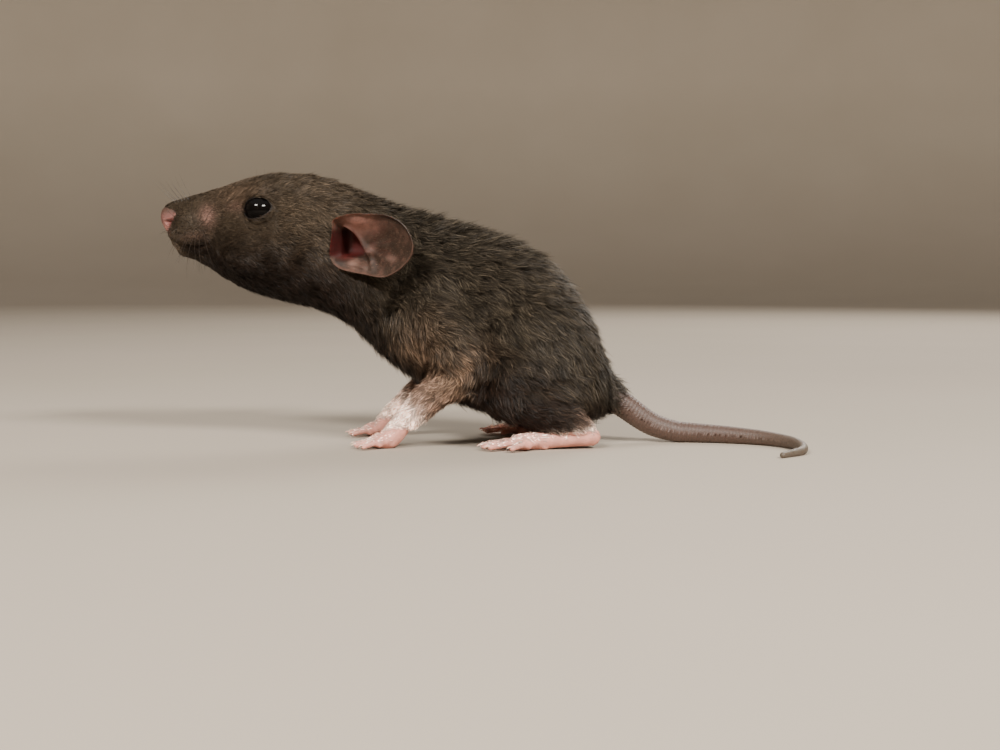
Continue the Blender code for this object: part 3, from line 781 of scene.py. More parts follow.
def body_form():
    """Head, trunk and legs as one form, out to the tips of the coat."""
    pieces = [trunk_loft()]
    for _, sign in SIDES:
        route = foreleg_route(sign)
        wrist = route[-1] + (route[-1] - route[-2]).normalized() * 0.9
        radii = [radius + 0.15 for radius in (*FORELEG_RADII, 1.8)]
        pieces += [
            tube("foreleg", [*route, wrist], radii, 32, 24),
            tube("shank", hindleg_route(sign)[1:], (5.3, 4.4, 3.4, 2.1), 32, 20),
        ]
        for name, centre, radii, turn in (
            ("thigh", HIP + Vector((-2.1, 0, -1.6)), (10.4, 5.4, 11.1), (0, 24, -sign * 11)),
            ("whisker pad", (-34.9, 2.9, 36.1), (3.4, 2.4, 2.7), (0, -8, 0)),
            ("cheek", (-22.0, 4.9, 33.0), (7.6, 3.3, 4.8), (0, -14, 0)),
            ("orbit", (-22.6, 4.5, 39.6), (4.2, 2.9, 3.4), (0, 0, 0)),
            ("shoulder", (5.4, 7.2, 22.6), (7.0, 4.6, 9.6), (0, 18, 0)),
            ("nose wing", (-39.0, 1.15, 38.0), (1.25, 1.15, 1.35), (0, 0, 0)),
        ):
            pieces.append(ellipsoid(name, mirrored(centre, sign), radii, turn))
    pieces.append(ellipsoid("chin", (-35.0, 0, 33.1), (2.8, 2.1, 1.8), (0, -20, 0)))
    root = [(29.0, 0, 11.6), (33.5, 0, 9.6), (37.6, -0.1, 6.7)]
    pieces.append(tube("tail root", root, (4.6, 3.9, 2.9), 32, 12))
    return even_skin("skin", pieces, BODY_VOXEL)


def flat_axes(heading):
    """Ahead and sideways on the floor, for a foot that points this way."""
    ahead = Vector((math.cos(heading), math.sin(heading), 0))
    return ahead, Vector((-ahead.y, ahead.x, 0))


def at_height(point, z):
    return Vector((point.x, point.y, z))


def digit_form(start, heading, length, radius, claw_length, claw_radius):
    """One toe with its knuckles, the pad at its tip and its claw."""
    ahead, _ = flat_axes(heading)
    route = [
        start + ahead * length * along + UP * radius * rise
        for along, rise in ((0, 0), (0.35, 0.6), (0.72, 0.15), (1, -0.1))
    ]
    radii = [radius * share for share in (1.05, 0.9, 0.82, 0.78)]
    pieces = [tube("toe", route, radii, 16, 10)]
    for at, size in ((1, 1.06), (2, 0.96)):
        pieces.append(ellipsoid("knuckle", route[at] + UP * radius * 0.1, [radius * size] * 3, detail=2))
    pad = (radius * 0.98, radius * 0.98, radius * 0.7)
    pieces.append(ellipsoid("toe pad", route[3] - UP * radius * 0.2, pad, detail=2))
    tip = route[3] + ahead * radius * 0.35 + UP * radius * 0.3
    return pieces, claw_form(tip, ahead, claw_length, claw_radius)


def claw_form(tip, ahead, length, radius):
    """A thin bent claw."""
    route = [
        tip - ahead * radius,
        tip + ahead * length * 0.45 + UP * 0.04,
        tip + ahead * length * 0.8 - UP * radius * 0.5,
        tip + ahead * length - UP * radius * 1.3,
    ]
    return tube("claw", route, [radius * share for share in (1, 0.85, 0.5, 0.16)], 10, 8)


def forepaw_form(sign):
    """Wrist, palm with its pads, and four fingers."""
    route = foreleg_route(sign)
    wrist = route[-1]
    down = (wrist - route[-2]).normalized()
    heading = math.pi - sign * FOREPAW_YAW
    ahead, side = flat_axes(heading)
    palm = at_height(wrist + ahead * 2.6, 1.55)
    knuckles = at_height(wrist + ahead * 4.6, 1.1)
    turn = (0, 0, math.degrees(heading))
    route = [wrist - down * 1.2, wrist + down * 0.8, palm, knuckles]
    pieces = [
        tube("paw", route, [1.72, 1.7, 1.7, 1.2], 24, 14),
        ellipsoid("palm", palm * 0.4 + knuckles * 0.6, (2.3, 2.3, 1.15), turn, 3),
    ]
    for across in (0.9, -0.9):
        pad = palm + side * across - UP * 0.75
        pieces.append(ellipsoid("heel of palm", pad, (0.9, 0.8, 0.6), turn, 2))
    claws = []
    for k, (spread, reach) in enumerate(((-30, 2.9), (-10, 3.8), (10, 3.8), (30, 3.1))):
        root = at_height(knuckles + side * (-1.65 + 1.1 * k) - ahead * 0.3, 0.72)
        toe, claw = digit_form(root, heading + math.radians(spread), reach, 0.52, 0.8, 0.15)
        pieces += toe
        claws.append(claw)
    return pieces, claws


def hindfoot_form(sign):
    """Heel, long sole with its pads, and five toes."""
    heading = math.pi - sign * HINDFOOT_YAW
    ahead, side = flat_axes(heading)
    heel = mirrored(HEEL, sign)
    steps = ((0.0, 1.9), (4.5, 1.65), (9.0, 1.45), (12.6, 1.2))
    route = [at_height(heel + ahead * reach, height) for reach, height in steps]
    turn = (0, 0, math.degrees(heading))
    ankle = [heel + Vector((-3.2, 0, 3.0)), route[0] + ahead * 1.2]
    pieces = [
        tube("foot", route, [1.55, 1.4, 1.5, 1.4], 24, 20, 0.95),
        tube("ankle", ankle, [1.85, 1.5], 24, 6),
        ellipsoid("ball", route[3] - ahead, (2.9, 2.6, 1.15), turn, 3),
    ]
    for along, across in ((-0.8, -1.4), (-0.5, 0.0), (-0.8, 1.4), (-4.4, 0.5)):
        centre = at_height(route[3] + ahead * along + side * across, 0.45)
        pieces.append(ellipsoid("sole pad", centre, (0.8, 0.7, 0.45), turn, 2))
    claws = []
    toes = ((-30, 3.3, 1.9), (-11, 4.9, 0.3), (0, 5.3, 0.0), (11, 4.9, 0.3), (30, 3.5, 1.7))
    for k, (spread, reach, back) in enumerate(toes):
        root = at_height(route[3] + side * (-2.2 + 1.1 * k) + ahead * (0.2 - back), 0.82)
        toe, claw = digit_form(root, heading + math.radians(spread), reach, 0.58, 0.95, 0.17)
        pieces += toe
        claws.append(claw)
    return pieces, claws


def floor_cutter():
    """A block under the floor, which cuts the soles flat."""
    bm = bmesh.new()
    bmesh.ops.create_cube(bm, size=2.0)
    place = Matrix.Translation((10, 0, -20)) @ Matrix.Diagonal((150, 150, 20, 1))
    bmesh.ops.transform(bm, matrix=place, verts=bm.verts)
    return object_of("floor cutter", bm)


def on_head(points):
    return (points[:, 0] < -17) & (points[:, 2] > 22)


def at_nose_or_eye(points):
    x, y, z = points.T
    eye = (np.abs(np.abs(y) - 7.2) < 2.4) & (np.hypot(x + 22.9, z - 39.3) < 3.8)
    return ((x < -34.5) | eye) & (z > 22)


def build_skin():
    """The whole skin, in by the depth of the coat, with the face and the feet worked finer."""
    skin = body_form()
    mesh = skin.data
    soften(mesh, 18, 1.0 - 0.6 * (1.0 - smooth(-39, -35, points_of(mesh)[:, 0])))
    points = points_of(mesh)
    depth, _ = coat_at(points, limbs_at(points))
    set_points(mesh, points - normals_of(mesh) * depth[:, None])
    soften(mesh, 5, smooth(-34, -26, points[:, 0]))

    finer(skin, on_head)
    finer(skin, at_nose_or_eye)
    soften(skin.data, 3, 1.0 - smooth(-18, -15, points_of(skin.data)[:, 0]))
    shape_face(skin)

    claws = []
    for side, sign in SIDES:
        boolean(skin, "DIFFERENCE", ear_pocket(sign))
        for name, form in (("forepaw", forepaw_form), ("hindfoot", hindfoot_form)):
            pieces, nails = form(sign)
            foot = even_skin(name, pieces, FOOT_VOXEL)
            soften(foot.data, 4)
            boolean(foot, "DIFFERENCE", floor_cutter())
            boolean(skin, "UNION", foot)
            claws.append((name + "_claws_" + side, nails))
    return skin, claws


# ---------------------------------------------------------------- ears

EAR_LEAN = math.radians(28)
EAR_DROOP = math.radians(2)
EAR_TILT = 0.12
# Matching points of the ear's edge and of the mouth of its pit, in the ear's plane: back, up.
EAR_EDGES = (
    ((-2.1, 3.7), (-1.8, 2.3)),
    ((0.8, 4.6), (-1.1, 2.3)),
    ((4.2, 4.95), (-0.5, 1.8)),
    ((8.1, 4.9), (0.1, 1.2)),
    ((11.0, 3.8), (0.6, 0.6)),
    ((12.6, 2.1), (1.1, 0.0)),
    ((12.95, 0.2), (1.5, -0.5)),
    ((12.2, -2.0), (1.9, -1.0)),
    ((10.0, -4.1), (2.2, -1.6)),
    ((7.0, -5.4), (2.1, -2.2)),
    ((3.6, -5.1), (1.5, -2.5)),
    ((0.6, -4.7), (0.4, -2.6)),
    ((-1.6, -4.1), (-1.1, -2.6)),
    ((-3.0, -2.7), (-2.2, -2.3)),
    ((-2.95, -0.9), (-2.35, -1.3)),
    ((-2.6, 0.9), (-2.2, 0.1)),
    ((-2.4, 2.4), (-2.1, 1.4)),
)
EAR_STEPS = 6
PIT_MIDDLE = np.array((-0.5, -0.5))


def closed_row(points):
    """Reads points round a closed outline as one smooth curve."""
    points = np.array(points, float)
    a, b, c, d = (np.roll(points, -step, axis=0)[:, None] for step in (-1, 0, 1, 2))
    t = (np.arange(EAR_STEPS) / EAR_STEPS)[None, :, None]
    cubic = (2 * a - 5 * b + 4 * c - d) * t**2 + (3 * b - a - 3 * c + d) * t**3
    return (0.5 * (2 * b + (c - a) * t + cubic)).reshape(-1, 2)


EAR_EDGE = closed_row([pair[0] for pair in EAR_EDGES])
EAR_PIT = closed_row([pair[1] for pair in EAR_EDGES])
EAR_WIDE = unit(EAR_PIT - PIT_MIDDLE)
# Folds of the cup, as straight lines in the ear's plane, and the steps of its pit, back and pocket.
INNER_FOLD = ((-1.2, 2.2), (3.2, -1.7))
OUTER_FOLD = ((3.2, -1.7), (4.3, -4.2))
PIT_STEPS = ((0.06, -3.3), (0.4, -3.25), (0.7, -3.0), (0.88, -2.5), (0.96, -1.8), (1.0, -1.2))
EDGE_STEPS = ((0.985, -0.06), (1.0, 0.0), (1.004, 0.13), (0.99, 0.24))
BACK_STEPS = ((1.0, -1.8, 0.6), (1.0, -2.8, 0.5), (0.8, -3.7, 0.4), (0.4, -4.0, 0.2), (0.06, -4.1, 0.0))
POCKET_STEPS = (
    (-3.8, 0),
    (-2.8, 0),
    (-1.5, 0),
    (-0.85, 0.25),
    (-0.25, 0.5),
    (0.5, 0.75),
    (1.4, 1),
    (4, 1),
)


def ear_axes(sign):
    """The ear's own axes: back along its length, up, and out of the cup."""
    along = Vector((math.cos(EAR_LEAN), sign * math.sin(EAR_LEAN), -math.sin(EAR_DROOP)))
    along.normalize()
    up = Vector((0, sign * EAR_TILT, 1))
    up = (up - along * up.dot(along)).normalized()
    return tuple(np.array(axis) for axis in (along, up, along.cross(up) * -sign))


def in_ear_plane(points, sign):
    """Places in the ear's own axes: back, up and out."""
    return (points - np.array(mirrored(EAR_ROOT, sign))) @ np.array(ear_axes(sign)).T


def ridge(s, t, start, end, width):
    """A soft straight fold in the ear's plane, 1 along its middle."""
    (x, y), run = start, np.array(end) - start
    k = np.clip(((s - x) * run[0] + (t - y) * run[1]) / (run @ run), 0.0, 1.0)
    return bell(np.hypot(s - x - run[0] * k, t - y - run[1] * k), width)


def spot(s, t, centre, radii):
    """A soft oval spot in the ear's plane."""
    return np.exp(-(((s - centre[0]) / radii[0]) ** 2) - ((t - centre[1]) / radii[1]) ** 2)


def ear_folds(s, t, share):
    """Height of the soft folds inside the cup."""
    lift = 0.68 * ridge(s, t, *INNER_FOLD, 0.6) + 0.4 * ridge(s, t, *OUTER_FOLD, 0.5)
    lift += 0.6 * ridge(s, t, (-2.2, -3.1), (3.0, -4.0), 0.55)
    for height, centre, radii in (
        (0.75, (1.7, 3.3), (2.8, 1.0)),
        (0.25, (3.9, -1.1), (0.6, 0.5)),
        (0.2, (8.0, -2.4), (1.0, 0.6)),
        (-0.35, (6.4, 0.9), (2.2, 1.6)),
    ):
        lift += height * spot(s, t, centre, radii)
    angle = np.arctan2(t + 0.75, s - 2.0)
    lift += 0.08 * np.sin(angle * 12 + 0.6) * share * (1 - share) * 4 * (s > 3)
    return lift * (1 - share**5)


def out_of_plane(outline, lift, sign):
    """Brings an outline in the ear's plane to its place on the head."""
    along, up, out = ear_axes(sign)
    lift = np.broadcast_to(lift, len(outline))[:, None]
    return np.array(mirrored(EAR_ROOT, sign)) + outline[:, :1] * along + outline[:, 1:] * up + lift * out


def between(share):
    """The outline that lies this far from the mouth of the pit to the ear's edge."""
    return EAR_PIT + (EAR_EDGE - EAR_PIT) * share


def ear_rings(sign):
    """All rings of the ear, from the bottom of the pit to its edge and down its back to the root."""

    def pit(scale, depth, extra=0.0):
        outline = PIT_MIDDLE + (EAR_PIT - PIT_MIDDLE) * scale + EAR_WIDE * extra
        return out_of_plane(outline + np.array([0.25 * min(depth + 1, 0.0), 0.0]), depth, sign)

    def cup(share, thickness):
        outline = between(share)
        s, t = outline.T
        lift = -0.7 + 2.1 * (0.45 * share + 0.55 * share**2) + ear_folds(s, t, share)
        lift += 0.25 * share * np.clip((1.5 - s) / 4.0, 0.0, 1.0) - thickness
        curl = (max(share - 0.84, 0) / 0.16) ** 2 * smooth(-1.5, 2.5, t) * smooth(1.0, 5.0, s)
        outline = outline + (PIT_MIDDLE + np.array([4.0, 0.0]) - outline) * 0.055 * curl[:, None]
        outline += EAR_WIDE * (0.6 * (1 - share) * (thickness > 0.25))
        return out_of_plane(outline, lift + 0.3 * curl, sign)

    shares = np.linspace(0.05, 0.97, 32)
    rings = [pit(*step) for step in PIT_STEPS]
    rings += [cup(share, 0.0) for share in shares]
    rings += [cup(*step) for step in EDGE_STEPS]
    rings += [cup(share, 0.26 + 0.34 * (1 - share)) for share in shares[::-1]]
    return rings + [pit(*step) for step in BACK_STEPS]


def ear_pocket(sign):
    """The room in the head that the root of the ear fills."""
    rings = [out_of_plane(between(share) + EAR_WIDE * 0.33, depth, sign) for depth, share in POCKET_STEPS]
    return ring_skin("ear pocket", rings)


def ear_veins(s, t):
    """Fine bent veins that spread from the middle of the cup."""
    veins = np.zeros(len(s))
    draw = np.random.default_rng(11)
    for k in range(9):
        reach = 6.0 + draw.uniform(0, 2.2)
        turn = -1.15 + 2.3 * k / 8 + draw.uniform(-0.08, 0.08)
        bend = draw.uniform(-0.35, 0.35)
        for share in np.linspace(0.1, 1.0, 22):
            angle = turn + bend * share
            at = (3.2 + reach * share * math.cos(angle), -0.8 + reach * share * math.sin(angle) * 0.8)
            veins = np.maximum(veins, spot(s, t, at, (0.16, 0.16)) * (1 - 0.6 * share))
    return veins


def ear_piece(side, sign):
    """One round thin ear: the hollow at its root, the folded cup and its rolled edge."""
    item = ring_skin("ear_" + side, ear_rings(sign))
    points = points_of(item.data)
    s, t, o = in_ear_plane(points, sign).T
    fold = ridge(s, t, (-2.2, -3.2), (3.0, -4.2), 0.8)
    edge = np.array([np.min(np.hypot(EAR_EDGE[:, 0] - a, EAR_EDGE[:, 1] - b)) for a, b in zip(s, t)])
    pit = 1.0 - smooth(0.7, 1.2, np.hypot((s + 1.0) / 2.6, (t + 0.5) / 2.5))
    front = (1 - smooth(-2.0, -1.2, s)) * smooth(-2.9, -2.1, t) * (1 - smooth(1.5, 2.3, t))
    layers = (
        (EAR_PALE, smooth(0.15, 0.9, waves(points, 61, 24, 0.7, 4.0)) * 0.35),
        (EAR_ROSE, spot(s, t, (2.0, 3.1), (4.0, 1.7)) * 0.95),
        (EAR_RED, ridge(s, t, *INNER_FOLD, 0.6) * 0.3),
        (EAR_PALE, fold * 0.4 * smooth(-2.0, 1.0, s)),
        (EAR_DARK, fold * 0.55 * (1 - smooth(-1.5, 1.2, s))),
        # Painted highlights on the small bumps and the lower fold of the cup.
        (EAR_PAINTED_HIGHLIGHT, spot(s, t, (3.9, -1.1), (0.7, 0.5)) * 0.6),
        (EAR_PAINTED_HIGHLIGHT, spot(s, t, (0.6, -3.5), (1.0, 0.5)) * 0.6),
        (EAR_PAINTED_HIGHLIGHT, spot(s, t, (8.0, -2.5), (1.1, 0.5)) * 0.6),
        (EAR_RED, ear_veins(s, t) * 0.3),
        (EAR_PALE, (1 - smooth(0.12, 0.4, edge)) * 0.5),
        # Painted shadow just inside the upper back of the rim, where the edge curls over.
        (EAR_DARK, bell(edge - 0.75, 0.35) * smooth(0.0, 3.0, t) * smooth(4, 8, s) * 0.6),
        (EAR_RED, pit * 0.95),
        # Painted light: a brighter red on the deep, unlit front part of the pit.
        (PIT_RED_PAINTED_LIGHT, pit * smooth(0.9, 1.8, -o) * (1 - smooth(-2.3, -1.4, s))),
        # Painted shade: the front wall of the pit is darkened over the pit's own red.
        (PIT_WALL_SHADE, front),
        (EAR_DARK, spot(s, t, (-2.3, 1.9), (0.9, 1.2)) * 0.5),
    )
    store(item.data, "markings", "FLOAT_COLOR", painted(len(points), EAR_BROWN, layers))
    return item


# ---------------------------------------------------------------- tail


def tail_piece():
    """The bare tail, with its fine overlapping rings of scales. It lies down behind the rump."""
    rings = rings_along(TAIL_ROUTE, np.linspace(TAIL_RADIUS, TAIL_TIP_RADIUS, 9), TAIL_RINGS)
    sections = []
    run = 0.0
    previous = rings[0][0]
    for centre, size, side, up, ahead in rings:
        centre.z = max(centre.z, size - 0.05)
        run += (centre - previous).length
        previous = centre.copy()
        phase = (run / SCALE_PITCH) % 1.0
        ridged = size * (0.965 + 0.035 * (1.0 - phase) ** 1.5 * smooth(0.0, 0.12, phase))
        sections.append(disc(centre, side * ridged, up * ridged))
    for way, scale in ((0.35, 0.85), (0.65, 0.55), (0.8, 0.2)):
        sections.append(disc(centre + ahead * size * way, side * size * scale, up * size * scale))
    item = skin_over("tail", sections, 28)
    points = points_of(item.data)
    line = np.array([ring[0] for ring in rings[::4]])
    along = np.linalg.norm(points[:, None, :] - line, axis=2).argmin(axis=1) / (len(line) - 1)
    under = smooth(0.2, 0.9, -normals_of(item.data)[:, 2])
    layers = ((TAIL_GREY, smooth(0.45, 0.95, along)), (TAIL_PALE, under * 0.4))
    store(item.data, "markings", "FLOAT_COLOR", painted(len(points), TAIL_BROWN, layers))
    return item


# ---------------------------------------------------------------- small parts


def eye_piece(side, sign):
    """The ball of the eye, wet and all black."""
    bm = bmesh.new()
    bmesh.ops.create_uvsphere(bm, u_segments=64, v_segments=40, radius=EYE_RADIUS)
    outward, _, _ = eye_axes(sign)
    turn = Vector(outward).to_track_quat("Z", "Y").to_matrix().to_4x4()
    bmesh.ops.transform(bm, matrix=Matrix.Translation(mirrored(EYE, sign)) @ turn, verts=bm.verts)
    return object_of("eye_ball_" + side, bm)


# Rows of single hairs: how many, first root, step, way, length and radius.
FACE_HAIRS = (
    (4, (-23.4, 6.2, 42.3), (1.1, 0.0, 0.0), (-0.3, 0.5, 0.75), 4.4, 0.036),
    (6, (-36.4, 0.8, 32.6), (0.8, 0.15, -0.35), (-0.42, 0.3, -0.7), 3.0, 0.028),
    (5, (-37.6, 1.6, 41.0), (0.6, 0.25, 0.1), (-0.72, 0.24, 0.6), 6.0, 0.036),
    (5, (-38.4, 1.0, 35.6), (0.2, 0.35, 0.35), (-0.75, 0.5, -0.15), 2.6, 0.03),
)


def whiskers(skin_tree):
    """Rows of fine whiskers on both sides of the snout, with a few over the eyes and on the chin."""
    draw = np.random.default_rng(21)
    items = []

    def grow(root, way, length, bend, radius):
        start = skin_tree.find_nearest(root)[0] - way * 0.4
        reach = [start + way * length * k + bend * length * k * k for k in (0.0, 0.35, 0.7, 1.0)]
        rings = rings_along(reach, [radius * share for share in (1, 0.75, 0.45, 0.12)], 12)
        sections = [disc(at, side * size, up * size) for at, size, side, up, _ in rings]
        items.append(skin_over("whisker", sections, 4))

    for _, sign in SIDES:
        for row, col in whisker_roots():
            forward = -0.5 + 0.17 * col + draw.uniform(-0.08, 0.08)
            rise = 0.5 - 0.28 * row + draw.uniform(-0.1, 0.1)
            way = Vector((forward, sign * (0.75 + 0.05 * col), rise)).normalized()
            bend = Vector((0.16, sign * 0.02, -0.1 - 0.03 * row))
            length = min(5.0 + 1.4 * col + draw.uniform(-0.6, 0.8), 12.0)
            grow(whisker_root(row, col, sign), way, length, bend, 0.05)
        for count, first, step, way, length, radius in FACE_HAIRS:
            for k in range(count):
                root = mirrored(Vector(first) + Vector(step) * k, sign)
                sideways = sign * (way[1] + draw.uniform(-0.1, 0.1))
                aim = Vector((way[0] + 0.07 * k, sideways, way[2])).normalized()
                grow(root, aim, length + draw.uniform(-0.9, 0.9), Vector((0.14, 0, 0)), radius)
    return joined("whiskers", items)


# ---------------------------------------------------------------- coat


# A strand: its rows from root to tip, its corners in two faces of three triangles in all, and the
# place of each point along and across its patch of the map.
SHARES = (0.0, 0.5, 1.0)
STRAND_CORNERS = np.array([0, 1, 3, 2, 2, 3, 4])
STRAND_TRIANGLES = 3
STRAND_MAP = np.array([(0.0, 0.0), (0.0, 1.0), (0.5, 0.0), (0.5, 1.0), (1.0, 0.5)])
PATCH_SIZE = 0.003
FLOOR_GAP = 0.03
EAR_HAIRS = 9000


class Hide:
    """The skin as arrays, for setting hairs on it."""

    def __init__(self, mesh):
        mesh.calc_loop_triangles()
        corners = np.empty(len(mesh.loop_triangles) * 3, np.int32)
        mesh.loop_triangles.foreach_get("vertices", corners)
        self.faces = corners.reshape(-1, 3)
        self.points = points_of(mesh)
        self.normals = normals_of(mesh)
        self.tree = BVHTree.FromPolygons(self.points.tolist(), self.faces.tolist())

    def roots(self, count, weight, seed):
        """Seeded random places on the hide, denser where the weight is higher."""
        draw = np.random.default_rng(seed)
        a, b, c = (self.points[self.faces[:, k]] for k in range(3))
        area = np.linalg.norm(np.cross(b - a, c - a), axis=1) / 2
        heft = np.cumsum(area * weight[self.faces].mean(axis=1))
        picked = np.searchsorted(heft, draw.uniform(0, heft[-1], count))
        u, v = draw.uniform(size=(2, count))
        over = u + v > 1
        u[over], v[over] = 1 - u[over], 1 - v[over]
        mix = np.stack([1 - u - v, u, v], axis=1)[:, :, None]
        points = (self.points[self.faces[picked]] * mix).sum(axis=1)
        normals = (self.normals[self.faces[picked]] * mix).sum(axis=1)
        return points, unit(normals)


def turned(vectors, axes, angles):
    """Turns each vector about its own axis."""
    c, s = np.cos(angles)[:, None], np.sin(angles)[:, None]
    return vectors * c + np.cross(axes, vectors) * s + axes * dot(vectors, axes) * (1 - c)


def guide_lines(hide, obstacles, points, normals, ways, length, height):
    """The middle line of each tuft, kept at its height over the skin and out of the ears and eyes."""
    keep = np.ones(len(points))
    for k, (point, normal, way) in enumerate(zip(points, normals, ways)):
        reach = length[k] * 1.15
        hit = obstacles.ray_cast(Vector(point + normal * height[k] * 0.5), Vector(way), reach)
        if hit[0] is not None:
            keep[k] = hit[3] / reach * 0.8
    length = length * keep
    height = height * (0.35 + 0.65 * keep)
    lines = [points - normals * 0.08]
    before = points
    for share in SHARES[1:]:
        ahead = points + ways * (length * share)[:, None]
        at = np.empty_like(points)
        rise = height * share**0.75
        for k, goal in enumerate(ahead):
            place, facing, _, _ = hide.tree.find_nearest(Vector(goal))
            at[k] = place + facing * rise[k]
            if facing.dot(Vector(normals[k])) < 0.2:
                at[k] = before[k] + (goal - before[k]) * 0.5
        lines.append(at)
        before = at
    return lines, keep


def strand_mesh(name, rows, sides, widths, colours, strands, places):
    """A joined mesh of flat tapered strands, each with two points at its root, two in its middle and
    one at its tip. On the map each strand has a patch at its root's place."""
    root, middle, tip = rows
    half = sides * (widths / 2)[:, None]
    points = np.stack([root - half, root + half, middle - half * 0.9, middle + half * 0.9, tip], axis=1)
    count = len(points)
    points = points.reshape(-1, 3)
    points[:, 2] = np.maximum(points[:, 2], FLOOR_GAP)
    points = (points + np.array(OFFSET)) * METRES
    corners = (np.arange(count) * 5)[:, None] + STRAND_CORNERS
    begins = (np.arange(count) * len(STRAND_CORNERS))[:, None] + (0, 4)
    mesh = bpy.data.meshes.new(name)
    mesh.vertices.add(len(points))
    mesh.vertices.foreach_set("co", points.astype(np.float32).ravel())
    mesh.loops.add(corners.size)
    mesh.loops.foreach_set("vertex_index", corners.astype(np.int32).ravel())
    mesh.polygons.add(begins.size)
    mesh.polygons.foreach_set("loop_start", begins.astype(np.int32).ravel())
    mesh.update(calc_edges=True)
    mesh.polygons.foreach_set("use_smooth", [True] * len(mesh.polygons))
    own = np.empty((count, 5, 3))
    own[:, :, 0] = STRAND_MAP[:, 0]
    own[:, :, 1:] = strands[:, None, :]
    store(mesh, "markings", "FLOAT_COLOR", np.repeat(colours, 5, axis=0))
    store(mesh, "strand", "FLOAT_VECTOR", own)
    flat = places[:, None, :] + (STRAND_MAP * PATCH_SIZE)[STRAND_CORNERS]
    mesh.uv_layers.new(name="OFBake").data.foreach_set("uv", flat.astype(np.float32).ravel())
    return linked(name, mesh)


def unwrapped(points, limbs):
    """Each root's place on a map of the skin: the trunk fills three quarters, the legs a strip each."""
    height, _ = spine_axis(points[:, 0])
    turn = np.arctan2(points[:, 1], points[:, 2] - height) / math.tau + 0.5
    along = np.clip((points[:, 0] + 41) / 80, 0, 1)
    found = np.stack([0.01 + 0.97 * along, 0.01 + 0.72 * turn], axis=1)
    for strip, (kind, sign, share, reach, heading) in enumerate(limbs):
        line = limb_line(foreleg_route(sign) if kind == "fore" else hindleg_route(sign))
        away = points - line[np.rint(reach * LIMB_STEPS).astype(int)]
        side = np.cross(heading, UP)
        over = np.cross(side, heading)
        turn = np.arctan2(dot(away, side), dot(away, over))[:, 0] / math.tau + 0.5
        own = np.stack([0.01 + 0.24 * strip + 0.22 * reach, 0.75 + 0.22 * turn], axis=1)
        on_leg = (share > 0.5) & (reach > 0.3) & (points[:, 2] < height - 2)
        found[on_leg] = own[on_leg]
    return found


# Where hairs grow: region, its start and end, tufts, hairs in a tuft, spread at the root, hair width,
# seed, number of clumps, how far their tips draw together, and how much the hairs differ in tone.
COAT_PLAN = (
    ("face", -60, -20, 35000, 4, 0.15, 0.052, 31, 4000, 0.2, 0.8),
    ("head", -20, -3, 26500, 4, 0.25, 0.06, 37, 1800, 0.35, 0.95),
    ("body", -3, 60, 46500, 5, 0.34, 0.07, 41, 3200, 0.5, 1.15),
)


def clump_of(points, clumps):
    """For each tuft, the nearest of the tufts that lead a clump."""
    middles = KDTree(clumps)
    for k in range(clumps):
        middles.insert(points[k], k)
    middles.balance()
    return np.array([middles.find(point)[1] for point in points])


